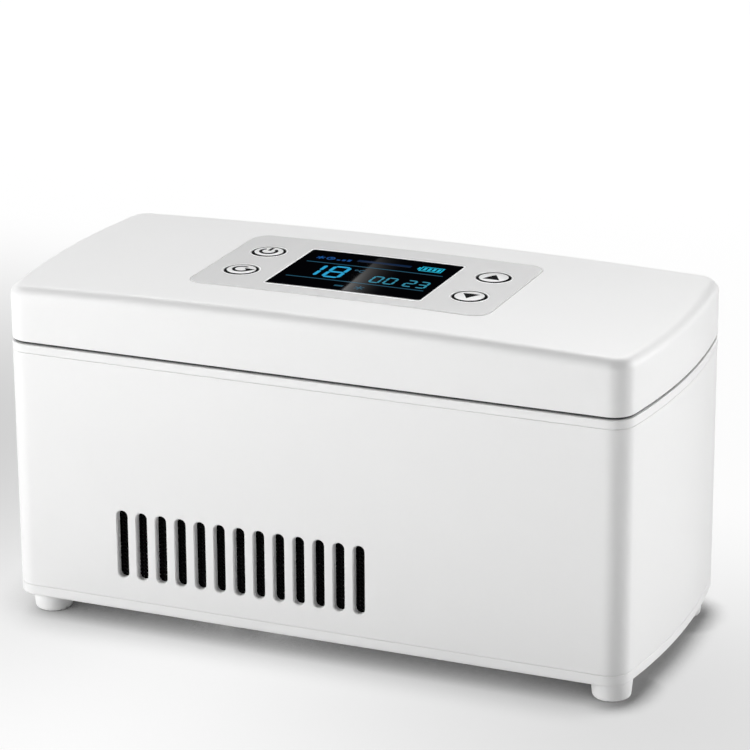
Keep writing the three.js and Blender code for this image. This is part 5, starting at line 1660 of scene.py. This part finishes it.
# The white is dimmed where little open air is over the paper: a painted contact shadow under and beside
# the case.
for socket, (reach, dark_sky, open_sky, power, least) in zip(painted_contact_shade.inputs[2:4], SHADES):
    paper_close = paper_nodes.new("ShaderNodeAmbientOcclusion")
    paper_close.samples = SHADE_SAMPLES
    paper_close.inputs["Distance"].default_value = reach
    paper_sky = paper_nodes.new("ShaderNodeMapRange")
    paper_sky.inputs["From Min"].default_value = dark_sky
    paper_sky.inputs["From Max"].default_value = open_sky
    paper_links.new(paper_close.outputs["AO"], paper_sky.inputs["Value"])
    paper_left = calculated("POWER", paper_sky.outputs[0], power)
    paper_links.new(calculated("MAXIMUM", paper_left, least), socket)
paper_glow = paper_nodes.new("ShaderNodeEmission")
paper_links.new(calculated("MULTIPLY", painted_pool_shade, painted_contact_shade.outputs[0]), paper_glow.inputs["Strength"])
paper_ray = paper_nodes.new("ShaderNodeLightPath").outputs
paper_mirrored = calculated("MAXIMUM", paper_ray["Is Glossy Ray"], paper_ray["Is Transmission Ray"])
paper_seen = calculated("MAXIMUM", paper_ray["Is Camera Ray"], paper_mirrored)
paper_choice = paper_nodes.new("ShaderNodeMixShader")
paper_links.new(calculated("MULTIPLY", paper_seen, OWN_WHITE), paper_choice.inputs[0])
paper_links.new(paper_shader.outputs["BSDF"], paper_choice.inputs[1])
paper_links.new(paper_glow.outputs["Emission"], paper_choice.inputs[2])
paper_links.new(paper_choice.outputs["Shader"], paper_nodes["Material Output"].inputs["Surface"])
floor.data.materials.append(paper)

# Flag
# A black cloth on a stand that keeps some of the light off the rear of the case's right end.
FLAG = [(0.30, 0.15), (0.30, 0.55)]
FLAG_HEIGHT = 0.45


def card(name, corners):
    """A flat card on a stand, which is no part of the case and which the camera doesn't see."""
    mesh = bpy.data.meshes.new(name)
    mesh.from_pydata(corners, [], [tuple(range(len(corners)))])
    held = placed(name, mesh)
    held.visible_camera = False
    held.visible_diffuse = False
    held.visible_transmission = False
    return held


flag = card("flag", [(x, y, 0) for x, y in FLAG] + [(x, y, FLAG_HEIGHT) for x, y in reversed(FLAG)])
flag.visible_glossy = False
flag.data.materials.append(grained("flag_cloth", (0.01, 0.01, 0.01), (0.006, 0.006, 0.006), (0.9, 1)))

# Lamps
# Soft boxes on stands round the table: a key and a fill close by at the left front, and others further
# off at the right back, the left back and behind. The air at the right front stays dark, so that the
# rounded edges read darker than the faces beside them and the display stays black.
TARGET = Vector((0, 0, 0.06))
FAR = 2.5
NEAR = 1.25
LAMPS = {  # azimuth and elevation, distance, width and height for each metre of distance, brightness
    "key_low": (-46, 8, NEAR, 0.53, 0.26, 4.4),
    "key": (-46, 24, NEAR, 0.49, 0.28, 3.9),
    "key_high": (-46, 42, NEAR, 0.40, 0.32, 1.2),
    "front_fill": (-30, 14, NEAR, 0.51, 0.56, 4.15),
    "right_low": (120, 8, FAR, 0.53, 0.26, 8.9),
    "right": (120, 24, FAR, 0.49, 0.28, 10.8),
    "back_right": (150, 8, FAR, 0.53, 0.26, 3.4),
    "left_back_high": (-158, 42, FAR, 0.82, 0.32, 7.0),
    "left_back": (-120, 24, FAR, 0.49, 0.28, 2.2),
    "back_high": (-180, 42, FAR, 0.40, 0.32, 3.4),
    "back_top": (-180, 66, FAR, 0.43, 0.46, 1.5),
}


def towards(azimuth, elevation):
    """The direction from the case to a lamp. Azimuth nought is the front, ninety the right."""
    a = math.radians(azimuth)
    e = math.radians(elevation)
    return Vector((math.sin(a) * math.cos(e), -math.cos(a) * math.cos(e), math.sin(e)))


for label, (azimuth, elevation, distance, width, height, brightness) in LAMPS.items():
    lamp = bpy.data.lights.new(label, "AREA")
    lamp.shape = "RECTANGLE"
    lamp.size = width * distance
    lamp.size_y = height * distance
    lamp.energy = brightness * math.pi * lamp.size * lamp.size_y
    stand = bpy.data.objects.new(label, lamp)
    bpy.context.scene.collection.objects.link(stand)
    away = towards(azimuth, elevation)
    stand.location = TARGET + away * distance
    stand.rotation_mode = "QUATERNION"
    stand.rotation_quaternion = away.to_track_quat("Z", "Y")
    stand.visible_camera = False

world = bpy.data.worlds.new("room")
bpy.context.scene.world = world
world.use_nodes = True
world.node_tree.nodes["Background"].inputs["Color"].default_value = (1, 1, 1, 1)
world.node_tree.nodes["Background"].inputs["Strength"].default_value = 0

# Camera
# A long lens from the right front, a little above the case.
CAMERA_PLACE = Vector((0.37849, -0.89455, 0.40611))
CAMERA_AZIMUTH = math.radians(22.79)
CAMERA_ELEVATION = math.radians(18.745)
CAMERA_ROLL = math.radians(-0.35)
CAMERA_LENS = 161.37
CAMERA_SENSOR = 36
back = Vector((
    math.sin(CAMERA_AZIMUTH) * math.cos(CAMERA_ELEVATION),
    -math.cos(CAMERA_AZIMUTH) * math.cos(CAMERA_ELEVATION),
    math.sin(CAMERA_ELEVATION),
))
level = Vector((math.cos(CAMERA_AZIMUTH), math.sin(CAMERA_AZIMUTH), 0))
upright = back.cross(level)
across = math.cos(CAMERA_ROLL) * level + math.sin(CAMERA_ROLL) * upright
upwards = -math.sin(CAMERA_ROLL) * level + math.cos(CAMERA_ROLL) * upright
camera_data = bpy.data.cameras.new("camera")
camera_data.lens = CAMERA_LENS
camera_data.sensor_width = CAMERA_SENSOR
camera_data.clip_start = 0.01
camera_data.clip_end = 50
camera = bpy.data.objects.new("camera", camera_data)
bpy.context.scene.collection.objects.link(camera)
axes = Matrix((across, upwards, back)).transposed()
camera.matrix_world = Matrix.Translation(CAMERA_PLACE) @ axes.to_4x4()
bpy.context.scene.camera = camera
bpy.context.scene.view_settings.view_transform = "Standard"

# Glare card
# A dim glowing card on a stand behind the case. The display mirrors it as a slanted glare on its right
# half that fades towards the right and the back.
GLARE = [(24.6, -2), (42.6, -2), (39.6, 38), (21.6, 38)]  # the mirrored corners, on the figures' sheet
GLARE_DISTANCE = 1.5
GLARE_BRIGHTNESS = 0.95
GLARE_FALL = 5  # how quickly the glare fades


def mirrored_place(u, v):
    """Where the card has to stand to be seen in the pane at a spot."""
    x, y = pane_place(u, v)
    spot = Vector((x, y, pane_top(x, y)))
    upward = Vector((2 * LID_CROWN * x / HALF_LENGTH**2, 0, 1)).normalized()
    return spot + (spot - CAMERA_PLACE).normalized().reflect(upward) * GLARE_DISTANCE


glare = card("glare_card", [mirrored_place(u, v) for u, v in GLARE])
glare.visible_shadow = False
glare_map = glare.data.uv_layers.new(name="fade")
for corner, place in zip(glare_map.data, ((0, 0), (1, 0), (1, 1), (0, 1))):
    corner.uv = place
glow = bpy.data.materials.new("glare_glow")
glow.use_nodes = True
glow_nodes = glow.node_tree.nodes
glow_nodes.remove(glow_nodes["Principled BSDF"])
glow_light = glow_nodes.new("ShaderNodeEmission")
glow_place = glow_nodes.new("ShaderNodeUVMap")
glow_place.uv_map = "fade"
glow_across = glow_nodes.new("ShaderNodeSeparateXYZ")
glow_left = glow_nodes.new("ShaderNodeMapRange")
glow_left.inputs["To Min"].default_value = 1
glow_left.inputs["To Max"].default_value = 0
glow_fade = glow_nodes.new("ShaderNodeMath")
glow_fade.operation = "POWER"
glow_fade.inputs[1].default_value = GLARE_FALL
glow_length = glow_nodes.new("ShaderNodeMapRange")
glow_length.inputs["To Min"].default_value = GLARE_BRIGHTNESS
glow_length.inputs["To Max"].default_value = 0
glow_both = glow_nodes.new("ShaderNodeMath")
glow_both.operation = "MULTIPLY"
linked(glow.node_tree, [
    (glow_place.outputs["UV"], glow_across.inputs["Vector"]),
    (glow_across.outputs["X"], glow_left.inputs["Value"]),
    (glow_left.outputs[0], glow_fade.inputs[0]),
    (glow_across.outputs["Y"], glow_length.inputs["Value"]),
    (glow_fade.outputs[0], glow_both.inputs[0]),
    (glow_length.outputs[0], glow_both.inputs[1]),
    (glow_both.outputs[0], glow_light.inputs["Strength"]),
    (glow_light.outputs["Emission"], glow_nodes["Material Output"].inputs["Surface"]),
])
glare.data.materials.append(glow)
